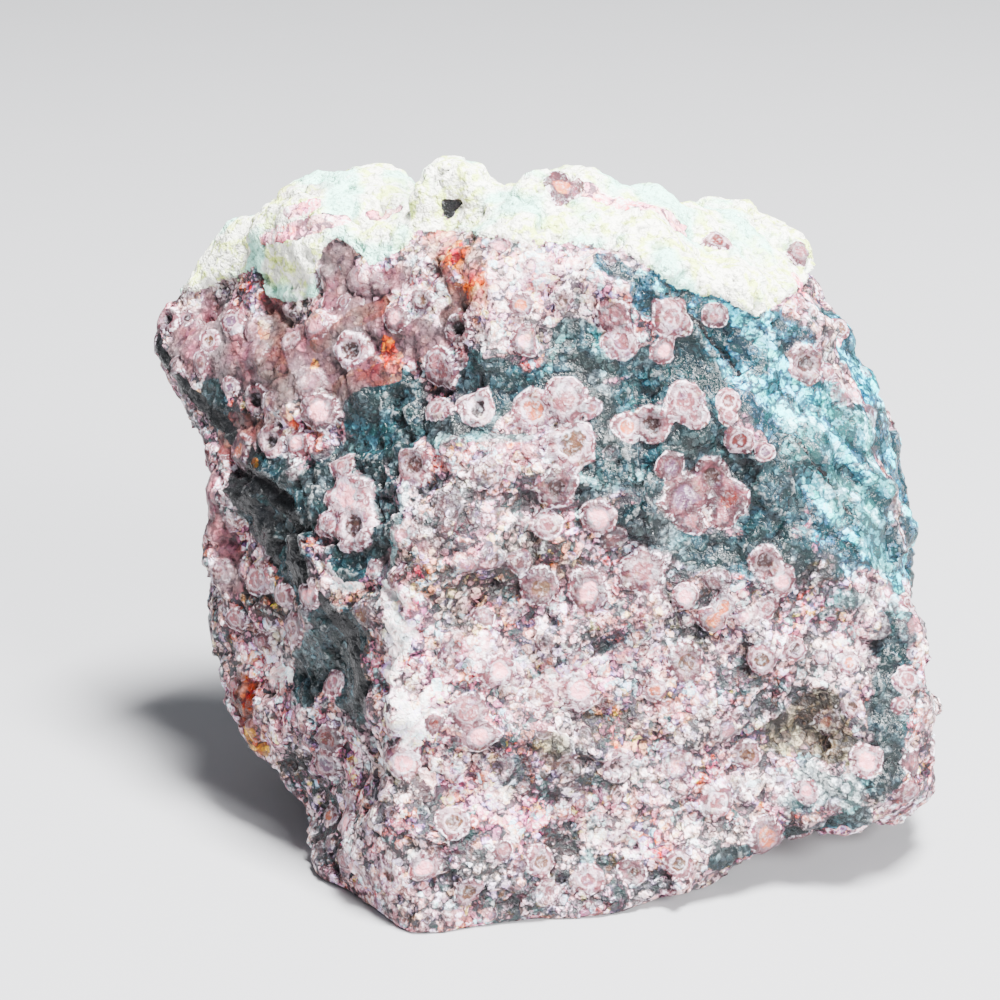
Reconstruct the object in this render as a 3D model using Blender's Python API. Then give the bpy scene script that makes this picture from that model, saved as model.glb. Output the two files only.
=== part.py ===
"""Rough sardonyx: one broken block of orbicular stone with a lumpy weathered rind along its top.

The stone is one solid. Its fracture planes are set out first, then the ledge, the flake scars and the
knobs, then the scooped, stepped and grainy relief. Every vertex of a finely divided cube is pushed out to
that surface. Lengths are millimetres until the mesh is written. +X is right, +Y is away from the viewer of
the widest face, and +Z is up.
"""

import math

import bmesh
import bpy
import numpy as np
from mathutils import Vector, noise

MM = 0.001

# The mesh: a cube cut this finely is pushed out from the heart of the stone, then thinned.
CUBE_CUTS = 74
DECIMATE_TO = 0.142
HEART = (2.0, 24.0, 32.0)
REACH = 75.0
MARCH_STEPS = 90
BISECTIONS = 14

# How far the edges between fracture planes are worn, and the height at which the foot is flat.
EDGE_WEAR = 0.28
FOOT_HEIGHT = 1.3

# A fracture plane: a point that it passes through, and the way it faces as an azimuth (0 is -Y, 90 is +X)
# and an elevation, in degrees.
FRACTURES = {
    "front": ((-6.0, 1.8, 0.0), 10, 12),
    "left_side": ((-11.8, 1.3, 7.2), -53, 2),
    "upper_left": ((-14.6, 8.6, 31.8), -45, 27),
    "blue_face": ((20.0, 12.1, 36.0), 27, 21),
    "right_corner": ((34.0, 11.3, 20.3), 53, 3),
    "right_upper": ((30.2, 34.0, 49.9), 84, 27),
    "right_middle": ((37.0, 34.0, 34.0), 84, 15),
    "right_lower": ((38.5, 34.0, 20.0), 87, 1),
    "under_right": ((2.5, 2.5, 1.3), 38, -53),
    "under_left": ((-22.2, 8.5, 1.0), -100, -41),
    "left_overhang": ((-39.8, 39.0, 49.6), -88, -13),
    "left_lower": ((-31.0, 30.0, 11.0), -95, -25),
    "back_left": ((-38.5, 49.0, 45.0), -140, 0),
    "back_notch": ((-12.0, 53.0, 26.0), -162, -9),
    "back": ((8.0, 51.5, 30.0), 164, 8),
    "back_right": ((37.0, 35.0, 30.0), 131, 5),
    "back_under": ((0.0, 46.0, 0.0), 174, -41),
    "rind_front": ((6.0, 19.5, 60.4), 0, 51),
    "rind_left": ((-24.0, 26.4, 57.0), -60, 64),
    "top_left": ((-34.5, 39.0, 56.4), -100, 45),
    "top_right": ((18.0, 31.0, 61.3), 80, 70),
    "top_back": ((0.0, 30.0, 66.8), 180, 65),
    "foot": ((0.0, 20.0, -4.0), 0, -90),
}

# The upper part of the front is set back behind a ledge, which dies away towards the right.
SETBACK = ((6.0, 14.1, 46.7), 6, 22)
LEDGE_HEIGHT = 45.5
LEDGE_SOFT = 1.0
LEDGE_FULL_X = 3.0
LEDGE_END_X = 14.0
LEDGE_RELEASE = 6.0

# A flake scar: a point on the stone, the way it faces there, the radius of the scoop and its depth.
SCARS = {
    "left_hollow": ((-26.0, 16.5, 36.6), -60, -8, 13.0, 2.4),
    "left_shell": ((-36.2, 38.0, 35.0), -86, -13, 30.0, 3.0),
    "blue_scoop": ((30.0, 16.5, 40.0), 30, 20, 48.0, 1.3),
    "mauve_hollow": ((-14.5, 20.5, 60.0), -20, 30, 7.0, 1.6),
    "rind_pit": ((-9.0, 29.5, 65.0), 0, 50, 3.0, 2.2),
    "corner_pocket": ((31.0, 10.0, 16.6), 10, 10, 9.0, 1.6),
    "back_scoop": ((6.0, 51.0, 42.0), 172, 8, 34.0, 4.5),
    "back_step": ((-22.0, 47.0, 20.0), 205, -8, 20.0, 4.5),
    "back_shell": ((24.0, 46.0, 22.0), 150, 0, 16.0, 3.0),
}
SCAR_WEAR = 0.25

# A knob: its middle and its three half widths.
KNOBS = {
    "top_knob": ((-8.6, 33.0, 65.0), (3.2, 3.5, 3.3)),
    "rind_hump": ((-19.2, 41.0, 58.9), (8.8, 7.5, 7.0)),
    "crest_nodule": ((2.5, 31.5, 64.6), (3.3, 3.0, 3.0)),
    "crest_ridge": ((8.0, 32.5, 62.6), (5.0, 3.4, 2.8)),
    "right_nodule": ((28.9, 33.0, 51.6), (2.8, 2.4, 2.4)),
    "red_bump": ((-27.4, 31.0, 11.6), (3.4, 5.5, 5.0)),
}
KNOB_BLEND = 1.1

# Relief: swells over the whole stone, scoops with blunt ridges between them, curved steps, and grain. The
# upper rind is coarser. Each kind of noise is read at a place of its own, so that no two follow each other.
SWELL_SIZE = 17.0
SWELL_HEIGHT = 0.9
SCOOP_SEED = 41
SCOOP_COUNT = 190
SCOOP_RADIUS = 15.0
SCOOP_DEPTH = 0.9
SCOOP_LIMIT = 0.9
STEP_PLACE = 90.0
STEP_SIZE = 21.0
STEP_HEIGHT = 1.3
STEP_WIDTH = 0.05
STEP_FADE_PLACE = -70.0
STEP_FADE_SIZE = 9.0
STEP_FADE_RANGE = (-0.1, 0.4)
GRAIN_SIZE = 4.0
GRAIN_HEIGHT = 0.42
RIND_GRAIN_PLACE = 50.0
RIND_GRAIN_SIZE = 3.4
RIND_GRAIN_HEIGHT = 0.8
RIND_FROM_Z = 57.0
RIND_FULL_Z = 62.0

STONE_COLOUR = (0.44, 0.29, 0.28, 1.0)
STONE_ROUGHNESS = 0.55


def facing(azimuth, elevation):
    """The unit vector that points along an azimuth and an elevation in degrees."""
    a = math.radians(azimuth)
    e = math.radians(elevation)
    return np.array((math.sin(a) * math.cos(e), -math.cos(a) * math.cos(e), math.sin(e)))


def ramp(low, high, values):
    """0 at low, 1 at high, and smooth between them."""
    t = np.clip((values - low) / (high - low), 0.0, 1.0)
    return t * t * (3.0 - 2.0 * t)


def above_plane(points, through, azimuth, elevation):
    """How far points lie outside a fracture plane."""
    return (points - np.array(through)) @ facing(azimuth, elevation)


def soft_max(values, softness):
    """The largest value in each column, rounded where two are nearly equal."""
    peak = values.max(axis=0)
    return peak + softness * np.log(np.exp((values - peak) / softness).sum(axis=0))


def outside(points):
    """How far points lie outside the stone, in millimetres, and below 0 for a point inside it."""
    planes = [above_plane(points, *plane) for plane in FRACTURES.values()]
    above_ledge = ramp(LEDGE_HEIGHT - LEDGE_SOFT, LEDGE_HEIGHT, points[:, 2])
    past_ledge = ramp(LEDGE_FULL_X, LEDGE_END_X, points[:, 0])
    setback = above_plane(points, *SETBACK)
    planes.append(setback - LEDGE_RELEASE * (1.0 - above_ledge) * (1.0 - past_ledge))
    body = soft_max(np.array(planes), EDGE_WEAR)
    for middle, half_widths in KNOBS.values():
        sizes = np.array(half_widths)
        scaled = np.linalg.norm((points - np.array(middle)) / sizes, axis=1)
        knob = (scaled - 1.0) * sizes.min()
        body = -soft_max(np.array((-body, -knob)), KNOB_BLEND)
    for through, azimuth, elevation, radius, depth in SCARS.values():
        middle = np.array(through) + facing(azimuth, elevation) * (radius - depth)
        scoop = radius - np.linalg.norm(points - middle, axis=1)
        body = soft_max(np.array((body, scoop)), SCAR_WEAR)
    return body


def reach_surface(directions):
    """The distance from the heart of the stone to its surface along each direction."""
    heart = np.array(HEART)
    far = np.full(len(directions), REACH)
    near = far.copy()
    found = np.zeros(len(directions), bool)
    for step in range(1, MARCH_STEPS):
        here = REACH * (1.0 - step / MARCH_STEPS)
        inside = outside(heart + directions * here) < 0.0
        near[inside & ~found] = here
        found |= inside
        far[~found] = here
    for _ in range(BISECTIONS):
        middle = (near + far) * 0.5
        inside = outside(heart + directions * middle[:, None]) < 0.0
        near[inside] = middle[inside]
        far[~inside] = middle[~inside]
    return (near + far) * 0.5


def scoops(points):
    """Shallow scoops with blunt ridges between them, as small flakes leave where they break away."""
    random = np.random.default_rng(SCOOP_SEED)
    seeds = points[random.choice(len(points), SCOOP_COUNT, replace=False)]
    depths = random.uniform(0.0, SCOOP_DEPTH, SCOOP_COUNT)
    gaps = np.linalg.norm(points[:, None, :] - seeds[None, :, :], axis=2)
    rise = (gaps ** 2 / (2.0 * SCOOP_RADIUS) - depths).min(axis=1)
    return np.minimum(rise, SCOOP_LIMIT)


def fractal(points, size, octaves):
    """Fractal noise of about -1 to 1, whose largest forms are this size across."""
    return np.array([noise.fractal(Vector(p / size), 1.0, 2.0, octaves) for p in points])


def steps(points):
    """Curved steps that fade in and out, each where a fracture jumped from one level to the next."""
    level = ramp(-STEP_WIDTH, STEP_WIDTH, fractal(points + STEP_PLACE, STEP_SIZE, 3))
    strength = ramp(*STEP_FADE_RANGE, fractal(points + STEP_FADE_PLACE, STEP_FADE_SIZE, 1))
    return STEP_HEIGHT * (level - 0.5) * strength


def relief(points):
    """How far the relief stands out of the fracture surfaces at each point."""
    rind = ramp(RIND_FROM_Z, RIND_FULL_Z, points[:, 2])
    swell = SWELL_HEIGHT * fractal(points, SWELL_SIZE, 3)
    grain = GRAIN_HEIGHT * fractal(points, GRAIN_SIZE, 3)
    rind_grain = RIND_GRAIN_HEIGHT * fractal(points + RIND_GRAIN_PLACE, RIND_GRAIN_SIZE, 2)
    return swell + grain + scoops(points) + steps(points) * (1.0 - rind) + rind_grain * rind


def stone_mesh():
    """The whole stone as a fine mesh, in millimetres and still in the frame of the fracture planes."""
    mesh = bmesh.new()
    bmesh.ops.create_cube(mesh, size=2.0)
    bmesh.ops.subdivide_edges(mesh, edges=mesh.edges[:], cuts=CUBE_CUTS, use_grid_fill=True)
    directions = np.array([tuple(vertex.co) for vertex in mesh.verts])
    directions = np.tan(directions * (math.pi / 4.0))
    directions /= np.linalg.norm(directions, axis=1)[:, None]
    points = np.array(HEART) + directions * reach_surface(directions)[:, None]
    for vertex, point in zip(mesh.verts, points):
        vertex.co = point
    mesh.normal_update()
    normals = np.array([tuple(vertex.normal) for vertex in mesh.verts])
    points = points + normals * relief(points)[:, None]
    for vertex, point in zip(mesh.verts, points):
        vertex.co = point
    return mesh


def cut_foot(mesh):
    """Cuts the underside flat where the stone rests."""
    whole = mesh.verts[:] + mesh.edges[:] + mesh.faces[:]
    cut = bmesh.ops.bisect_plane(
        mesh, geom=whole, plane_co=(0.0, 0.0, FOOT_HEIGHT), plane_no=(0.0, 0.0, -1.0), clear_outer=True
    )
    rim = [item for item in cut["geom_cut"] if isinstance(item, bmesh.types.BMEdge)]
    bmesh.ops.holes_fill(mesh, edges=rim)


def centre_on_foot(mesh):
    """Moves the stone so that its origin is the middle of its box at the height of its foot."""
    places = np.array([tuple(vertex.co) for vertex in mesh.verts])
    middle = (places.min(axis=0) + places.max(axis=0)) * 0.5
    bmesh.ops.translate(mesh, verts=mesh.verts[:], vec=(-middle[0], -middle[1], -FOOT_HEIGHT))


def stone_material():
    """The stone's average colour."""
    material = bpy.data.materials.new("orbicular_stone")
    material.use_nodes = True
    shader = material.node_tree.nodes["Principled BSDF"]
    shader.inputs["Base Color"].default_value = STONE_COLOUR
    shader.inputs["Roughness"].default_value = STONE_ROUGHNESS
    return material


def thinned(mesh, name):
    """A copy of the mesh with fewer faces where the surface is flat."""
    data = bpy.data.meshes.new(name)
    mesh.to_mesh(data)
    mesh.free()
    scratch = bpy.data.objects.new(name + "_fine", data)
    bpy.context.scene.collection.objects.link(scratch)
    modifier = scratch.modifiers.new("thin", "DECIMATE")
    modifier.ratio = DECIMATE_TO
    graph = bpy.context.evaluated_depsgraph_get()
    thin = bmesh.new()
    thin.from_object(scratch, graph)
    bpy.data.objects.remove(scratch)
    return thin


def build_stone():
    """The stone as one named object."""
    thin = thinned(stone_mesh(), "stone")
    cut_foot(thin)
    centre_on_foot(thin)
    bmesh.ops.scale(thin, verts=thin.verts[:], vec=(MM, MM, MM))
    bmesh.ops.triangulate(thin, faces=thin.faces[:])
    bmesh.ops.recalc_face_normals(thin, faces=thin.faces[:])
    data = bpy.data.meshes.new("stone")
    thin.to_mesh(data)
    thin.free()
    data.materials.append(stone_material())
    stone = bpy.data.objects.new("stone", data)
    bpy.context.scene.collection.objects.link(stone)
    return stone


for old in list(bpy.data.objects):
    bpy.data.objects.remove(old)
build_stone()
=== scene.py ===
"""Rough sardonyx: the visible surface of one rough block of orbicular stone.

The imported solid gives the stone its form. Its surface is divided finely, then raised and sunk where the
stone has orbs, crust, ledges, cracks and grain. Masks on the surface say which kind of ground lies where,
and the material paints each kind from procedural patterns. Places that are seen in the photograph are
given as pixels of its 1000 by 1000 frame and carried on to the stone along the camera's rays. Everything
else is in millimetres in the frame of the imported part.
"""

import logging
import math
from dataclasses import dataclass, field
from enum import Enum

import bmesh
import bpy
import numpy as np
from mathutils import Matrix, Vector, noise
from mathutils.bvhtree import BVHTree


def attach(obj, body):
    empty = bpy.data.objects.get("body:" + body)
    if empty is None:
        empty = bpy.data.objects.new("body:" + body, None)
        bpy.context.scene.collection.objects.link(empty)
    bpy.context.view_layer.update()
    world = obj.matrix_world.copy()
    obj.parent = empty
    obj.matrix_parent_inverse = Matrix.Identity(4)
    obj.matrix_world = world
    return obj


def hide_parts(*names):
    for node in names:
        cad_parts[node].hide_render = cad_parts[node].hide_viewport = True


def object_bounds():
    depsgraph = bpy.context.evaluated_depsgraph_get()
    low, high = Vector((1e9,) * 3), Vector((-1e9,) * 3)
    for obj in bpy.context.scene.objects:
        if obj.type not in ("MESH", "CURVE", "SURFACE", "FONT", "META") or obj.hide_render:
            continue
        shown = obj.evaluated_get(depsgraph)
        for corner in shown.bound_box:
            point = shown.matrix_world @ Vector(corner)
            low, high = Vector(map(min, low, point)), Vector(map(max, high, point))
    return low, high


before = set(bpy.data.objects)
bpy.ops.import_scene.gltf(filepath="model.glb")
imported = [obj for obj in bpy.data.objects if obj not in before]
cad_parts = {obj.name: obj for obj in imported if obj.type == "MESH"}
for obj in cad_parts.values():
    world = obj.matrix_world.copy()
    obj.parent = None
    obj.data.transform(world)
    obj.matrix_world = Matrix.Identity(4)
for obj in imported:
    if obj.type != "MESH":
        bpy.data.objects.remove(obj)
CAD_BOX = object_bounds()

LOG = logging.getLogger("rough_sardonyx")
MM = 0.001
NODE = "stone"
BODY = "root"
FRAME_PIXELS = 1000.0
MM_PER_PIXEL = 0.1

Pixel = tuple[float, float]
Colour = tuple[float, float, float, float]
Shown = tuple[float, float, float]
Form = tuple[float, float]

# How bright a grey has to be in the scene for the picture to show it at each level from 0 to 255.
SHOWN_LEVELS = (0.0, 20.0, 40.0, 60.0, 80.0, 100.0, 125.0, 150.0, 175.0, 200.0, 220.0, 235.0, 255.0)
SCENE_LEVELS = (0.003, 0.011, 0.022, 0.039, 0.063, 0.1, 0.17, 0.29, 0.51, 0.95, 1.75, 3.26, 8.0)
KEY_LEVEL = 3.0
BRIGHTEST = 0.92

# The direction in which the glassy face is streaked, and how far its streaks are drawn out, 0 to 1.
STREAK_WAY = (1.0, 0.0, -1.05)
STREAK_DRAW = 0.82

# The middle of a texture's colours, taken off to push places both ways.
MID_GREY = (0.5, 0.5, 0.5)

# How a facet's place is spread before its tilt is looked up, and the seed of the noise that gives it.
FACET_SPREAD = 3.7
FACET_SEED = 11

# Where the edge of an orb fades out, in radii.
ORB_EDGE = (1.05, 0.97)

# How squarely the stone faces the photograph's camera where it starts, and ends, to count as unseen.
TURNED_AWAY = (0.15, -0.1)


def shade(red: float, green: float, blue: float) -> Colour:
    """Turns a colour as the picture shows it under the studio's light into the colour that a shader takes.

    Args:
        red: The red part, 0 to 255.
        green: The green part.
        blue: The blue part.

    Returns:
        The linear colour with an alpha of 1.
    """
    scene = np.exp(np.interp((red, green, blue), SHOWN_LEVELS, np.log(SCENE_LEVELS))) / KEY_LEVEL
    part = np.minimum(scene, BRIGHTEST)
    return (float(part[0]), float(part[1]), float(part[2]), 1.0)


def ease(low: float, high: float, values: np.ndarray) -> np.ndarray:
    """Gives 0 at low and 1 at high, with a smooth rise between them.

    Args:
        low: The value at which the rise starts.
        high: The value at which the rise ends. It may be below low.
        values: The values to look up.

    Returns:
        One number from 0 to 1 for each value.
    """
    t = np.clip((values - low) / (high - low), 0.0, 1.0)
    return t * t * (3.0 - 2.0 * t)


def cloud(points: np.ndarray, size: float, octaves: int, place: float) -> np.ndarray:
    """Reads smooth fractal noise on the surface.

    Args:
        points: Points in millimetres, one a row.
        size: The breadth of the largest forms, in millimetres.
        octaves: How many finer layers are added.
        place: Where in the noise it is read, so that no two fields follow each other.

    Returns:
        One number of about -1 to 1 for each point.
    """
    shifted = (points + place) / size
    return np.array([noise.fractal(Vector(p), 1.0, 2.0, octaves) for p in shifted])


def streaks(points: np.ndarray, size: float, place: float) -> np.ndarray:
    """Reads noise that is drawn out along the streaks of the glassy face.

    Args:
        points: Points in millimetres, one a row.
        size: The breadth of a streak, in millimetres.
        place: Where in the noise it is read.

    Returns:
        One number of about -1 to 1 for each point.
    """
    along = np.array(STREAK_WAY) / np.linalg.norm(STREAK_WAY)
    drawn = points - STREAK_DRAW * (points @ along)[:, None] * along
    return cloud(drawn, size, 3, place)


def cells(points: np.ndarray, size: float, place: float) -> np.ndarray:
    """Reads the distance to the nearest of many scattered seeds, for grains and granules.

    Args:
        points: Points in millimetres, one a row.
        size: The usual distance between seeds, in millimetres.
        place: Where in the pattern it is read.

    Returns:
        The distance as a share of size, 0 at a seed and about 0.7 between seeds.
    """
    shifted = (points + place) / size
    return np.array([noise.voronoi(Vector(p))[0][0] for p in shifted])


def facets(points: np.ndarray, size: float, place: float) -> np.ndarray:
    """Reads a field of small flat facets, each tilted its own way, as broken stone has.

    Args:
        points: Points in millimetres, one a row.
        size: The breadth of a facet, in millimetres.
        place: Where in the field it is read.

    Returns:
        The height of each point, as a share of size.
    """
    noise.seed_set(FACET_SEED)
    heights = np.empty(len(points))
    for number, spot in enumerate((points + place) / size):
        middle = noise.voronoi(Vector(spot))[1][0]
        heights[number] = (Vector(spot) - middle).dot(noise.noise_vector(middle * FACET_SPREAD))
    return heights


class Ground(Enum):
    """The kinds of ground that lie between the orbs. The value names the mask on the surface."""

    SMOKE = "ground_smoke"
    UMBER = "ground_umber"
    GREEN = "ground_green"
    BLUE = "ground_blue"
    MAUVE = "ground_mauve"
    BRICK = "ground_brick"
    ORANGE = "ground_orange"
    RUST = "ground_rust"
    AMBER = "ground_amber"
    OLIVE = "ground_olive"
    VEIL = "ground_veil"
    DARK = "ground_painted_shade"
    PALE = "ground_pale"
    CHALK = "ground_chalk"
    BARE = "ground_bare"


class Core(Enum):
    """What fills the middle of an orb. The value is its place on the ramp of middle colours."""

    PLAIN = 0.05
    PALE = 0.15
    TAN = 0.25
    BROWN = 0.35
    ORANGE = 0.45
    RED = 0.55
    MAUVE = 0.65
    HOLLOW = 0.75


# How deep the middles of orbs lie below their tops, as a share of the radius.
PLAIN_SUNK = 0.04
SUNK = {Core.HOLLOW: 0.55, Core.BROWN: 0.26, Core.TAN: 0.2, Core.RED: 0.2, Core.ORANGE: 0.12}

# How often each kind of middle comes up in the scattered orbs.
CORE_ODDS = {
    Core.PLAIN: 0.36, Core.PALE: 0.22, Core.TAN: 0.12, Core.BROWN: 0.1, Core.ORANGE: 0.07, Core.RED: 0.03,
    Core.MAUVE: 0.06, Core.HOLLOW: 0.04,
}

# How rare each kind of ground is on the sides that the photograph doesn't show, 0 for about half of them.
FAR_RARITY = {
    Ground.PALE: 0.25, Ground.GREEN: 0.12, Ground.BLUE: 0.3, Ground.SMOKE: 0.1, Ground.UMBER: 0.25,
    Ground.MAUVE: 0.3, Ground.BRICK: 0.42, Ground.ORANGE: 0.55, Ground.OLIVE: 0.5, Ground.VEIL: 0.5,
}

# The share of scattered orbs that each kind of ground keeps.
ORB_KEEP = {
    Ground.GREEN: 0.02, Ground.BLUE: 0.02, Ground.DARK: 0.1, Ground.MAUVE: 0.35, Ground.BRICK: 0.02,
    Ground.ORANGE: 0.1, Ground.CHALK: 0.2, Ground.VEIL: 0.1, Ground.SMOKE: 0.6, Ground.UMBER: 0.4,
    Ground.OLIVE: 0.05,
}


@dataclass(frozen=True)
class Orb:
    """One orb seen in the photograph.

    Attributes:
        across: The pixel column of its middle.
        down: The pixel row of its middle.
        radius: Its radius in pixels.
        core: What fills its middle.
        deep: Whether it is a darker rose than others.
    """

    across: float
    down: float
    radius: float
    core: Core = Core.PLAIN
    deep: bool = False


@dataclass(frozen=True)
class Patch:
    """A stretch of ground: everything within a radius of a line on the surface.

    Attributes:
        radius: The radius in pixels.
        line: The pixels that the line runs through. One pixel makes a round spot.
    """

    radius: float
    line: tuple[Pixel, ...]


@dataclass(frozen=True)
class Ledge:
    """A step or a crack along a line on the surface.

    Attributes:
        line: The pixels that the line runs through, from left to right.
        rise: How far the side below the line stands out past the side above it, in millimetres.
        groove: The depth of the crack along the line, in millimetres.
        reach: How far from the line the step fades out, in millimetres.
        breadth: Half the breadth of the crack, in millimetres.
    """

    line: tuple[Pixel, ...]
    rise: float
    groove: float
    reach: float
    breadth: float = 0.35


ORBS = (
    # upper left, under the crust
    Orb(167, 319, 14, Core.HOLLOW), Orb(186, 317, 8, Core.HOLLOW), Orb(211, 342, 12, Core.TAN),
    Orb(231, 388, 10, Core.MAUVE), Orb(256, 400, 15, Core.HOLLOW), Orb(270, 441, 15, Core.HOLLOW),
    Orb(296, 443, 12, Core.PALE), Orb(319, 411, 20, Core.PALE), Orb(352, 351, 19, Core.BROWN),
    Orb(395, 318, 13, Core.PALE), Orb(421, 300, 12, Core.TAN), Orb(232, 322, 13, Core.MAUVE),
    # in the green pocket on the left
    Orb(346, 468, 13), Orb(351, 498, 24, Core.PALE), Orb(329, 523, 13), Orb(354, 529, 20, Core.BROWN),
    Orb(415, 466, 18, Core.BROWN),
    # the row across the middle
    Orb(436, 408, 14), Orb(438, 359, 12), Orb(441, 371, 16), Orb(458, 329, 14, Core.HOLLOW),
    Orb(478, 407, 17, Core.HOLLOW), Orb(524, 341, 15, Core.PALE), Orb(521, 304, 11, Core.ORANGE),
    Orb(534, 410, 20, Core.ORANGE), Orb(564, 402, 22), Orb(591, 408, 10), Orb(571, 445, 24, Core.TAN),
    Orb(556, 486, 20, Core.BROWN), Orb(546, 523, 14), Orb(599, 516, 16, Core.PALE), Orb(612, 316, 16),
    Orb(622, 341, 18), Orb(627, 428, 15, Core.ORANGE), Orb(651, 425, 18, Core.BROWN), Orb(670, 317, 18),
    Orb(663, 351, 12, Core.PALE), Orb(685, 401, 19), Orb(696, 416, 13), Orb(715, 316, 12),
    Orb(728, 400, 12, Core.RED), Orb(729, 416, 9), Orb(739, 441, 14, Core.RED),
    Orb(766, 451, 10, Core.MAUVE), Orb(806, 364, 18, Core.BROWN), Orb(829, 372, 9),
    Orb(855, 395, 8, Core.PALE),
    # the joined group right of the middle
    Orb(670, 466, 15, Core.MAUVE, True), Orb(711, 476, 17, Core.BROWN, True),
    Orb(729, 499, 18, Core.RED, True), Orb(723, 516, 12, Core.PLAIN, True),
    Orb(683, 496, 24, Core.MAUVE, True), Orb(691, 521, 14, Core.PLAIN, True),
    # lower right
    Orb(642, 571, 22), Orb(685, 596, 13, Core.PALE), Orb(763, 561, 16, Core.BROWN),
    Orb(779, 579, 15, Core.PALE), Orb(768, 607, 12), Orb(723, 606, 12, Core.ORANGE),
    Orb(713, 620, 14, Core.ORANGE), Orb(686, 663, 18, Core.TAN), Orb(655, 691, 12, Core.ORANGE),
    Orb(761, 660, 14, Core.TAN), Orb(794, 648, 12, Core.BROWN), Orb(849, 663, 12, Core.ORANGE),
    Orb(748, 754, 14, Core.TAN), Orb(718, 801, 16), Orb(766, 837, 20, Core.ORANGE),
    Orb(678, 865, 14, Core.TAN), Orb(807, 791, 12, Core.PALE), Orb(865, 761, 16, Core.PALE),
    Orb(907, 604, 12, Core.RED), Orb(907, 679, 14), Orb(901, 705, 9), Orb(912, 763, 13),
    Orb(909, 793, 14),
    # lower left of the front
    Orb(541, 587, 18, Core.TAN), Orb(589, 589, 19, Core.PALE), Orb(483, 617, 10),
    Orb(498, 670, 17, Core.PALE), Orb(434, 723, 9, Core.RED), Orb(470, 713, 18),
    Orb(479, 736, 18, Core.PALE), Orb(579, 690, 18, Core.PALE), Orb(403, 763, 18, Core.PALE),
    Orb(453, 824, 16, Core.TAN), Orb(503, 850, 10), Orb(540, 862, 15, Core.TAN), Orb(588, 880, 14),
    Orb(632, 872, 13, Core.BROWN), Orb(424, 868, 14, Core.PALE), Orb(470, 892, 13, Core.TAN),
    # the side in the shade
    Orb(260, 579, 18), Orb(283, 597, 12), Orb(308, 594, 14, Core.PALE), Orb(293, 628, 14),
    Orb(235, 619, 12), Orb(261, 642, 10), Orb(334, 683, 12), Orb(328, 739, 14, Core.RED),
    Orb(326, 764, 16, Core.MAUVE), Orb(348, 797, 10), Orb(348, 824, 14, Core.PALE), Orb(344, 860, 10),
    # in the crust
    Orb(562, 190, 19, Core.ORANGE), Orb(715, 246, 13, Core.RED), Orb(796, 256, 12),
    Orb(847, 317, 10, Core.TAN),
)

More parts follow.
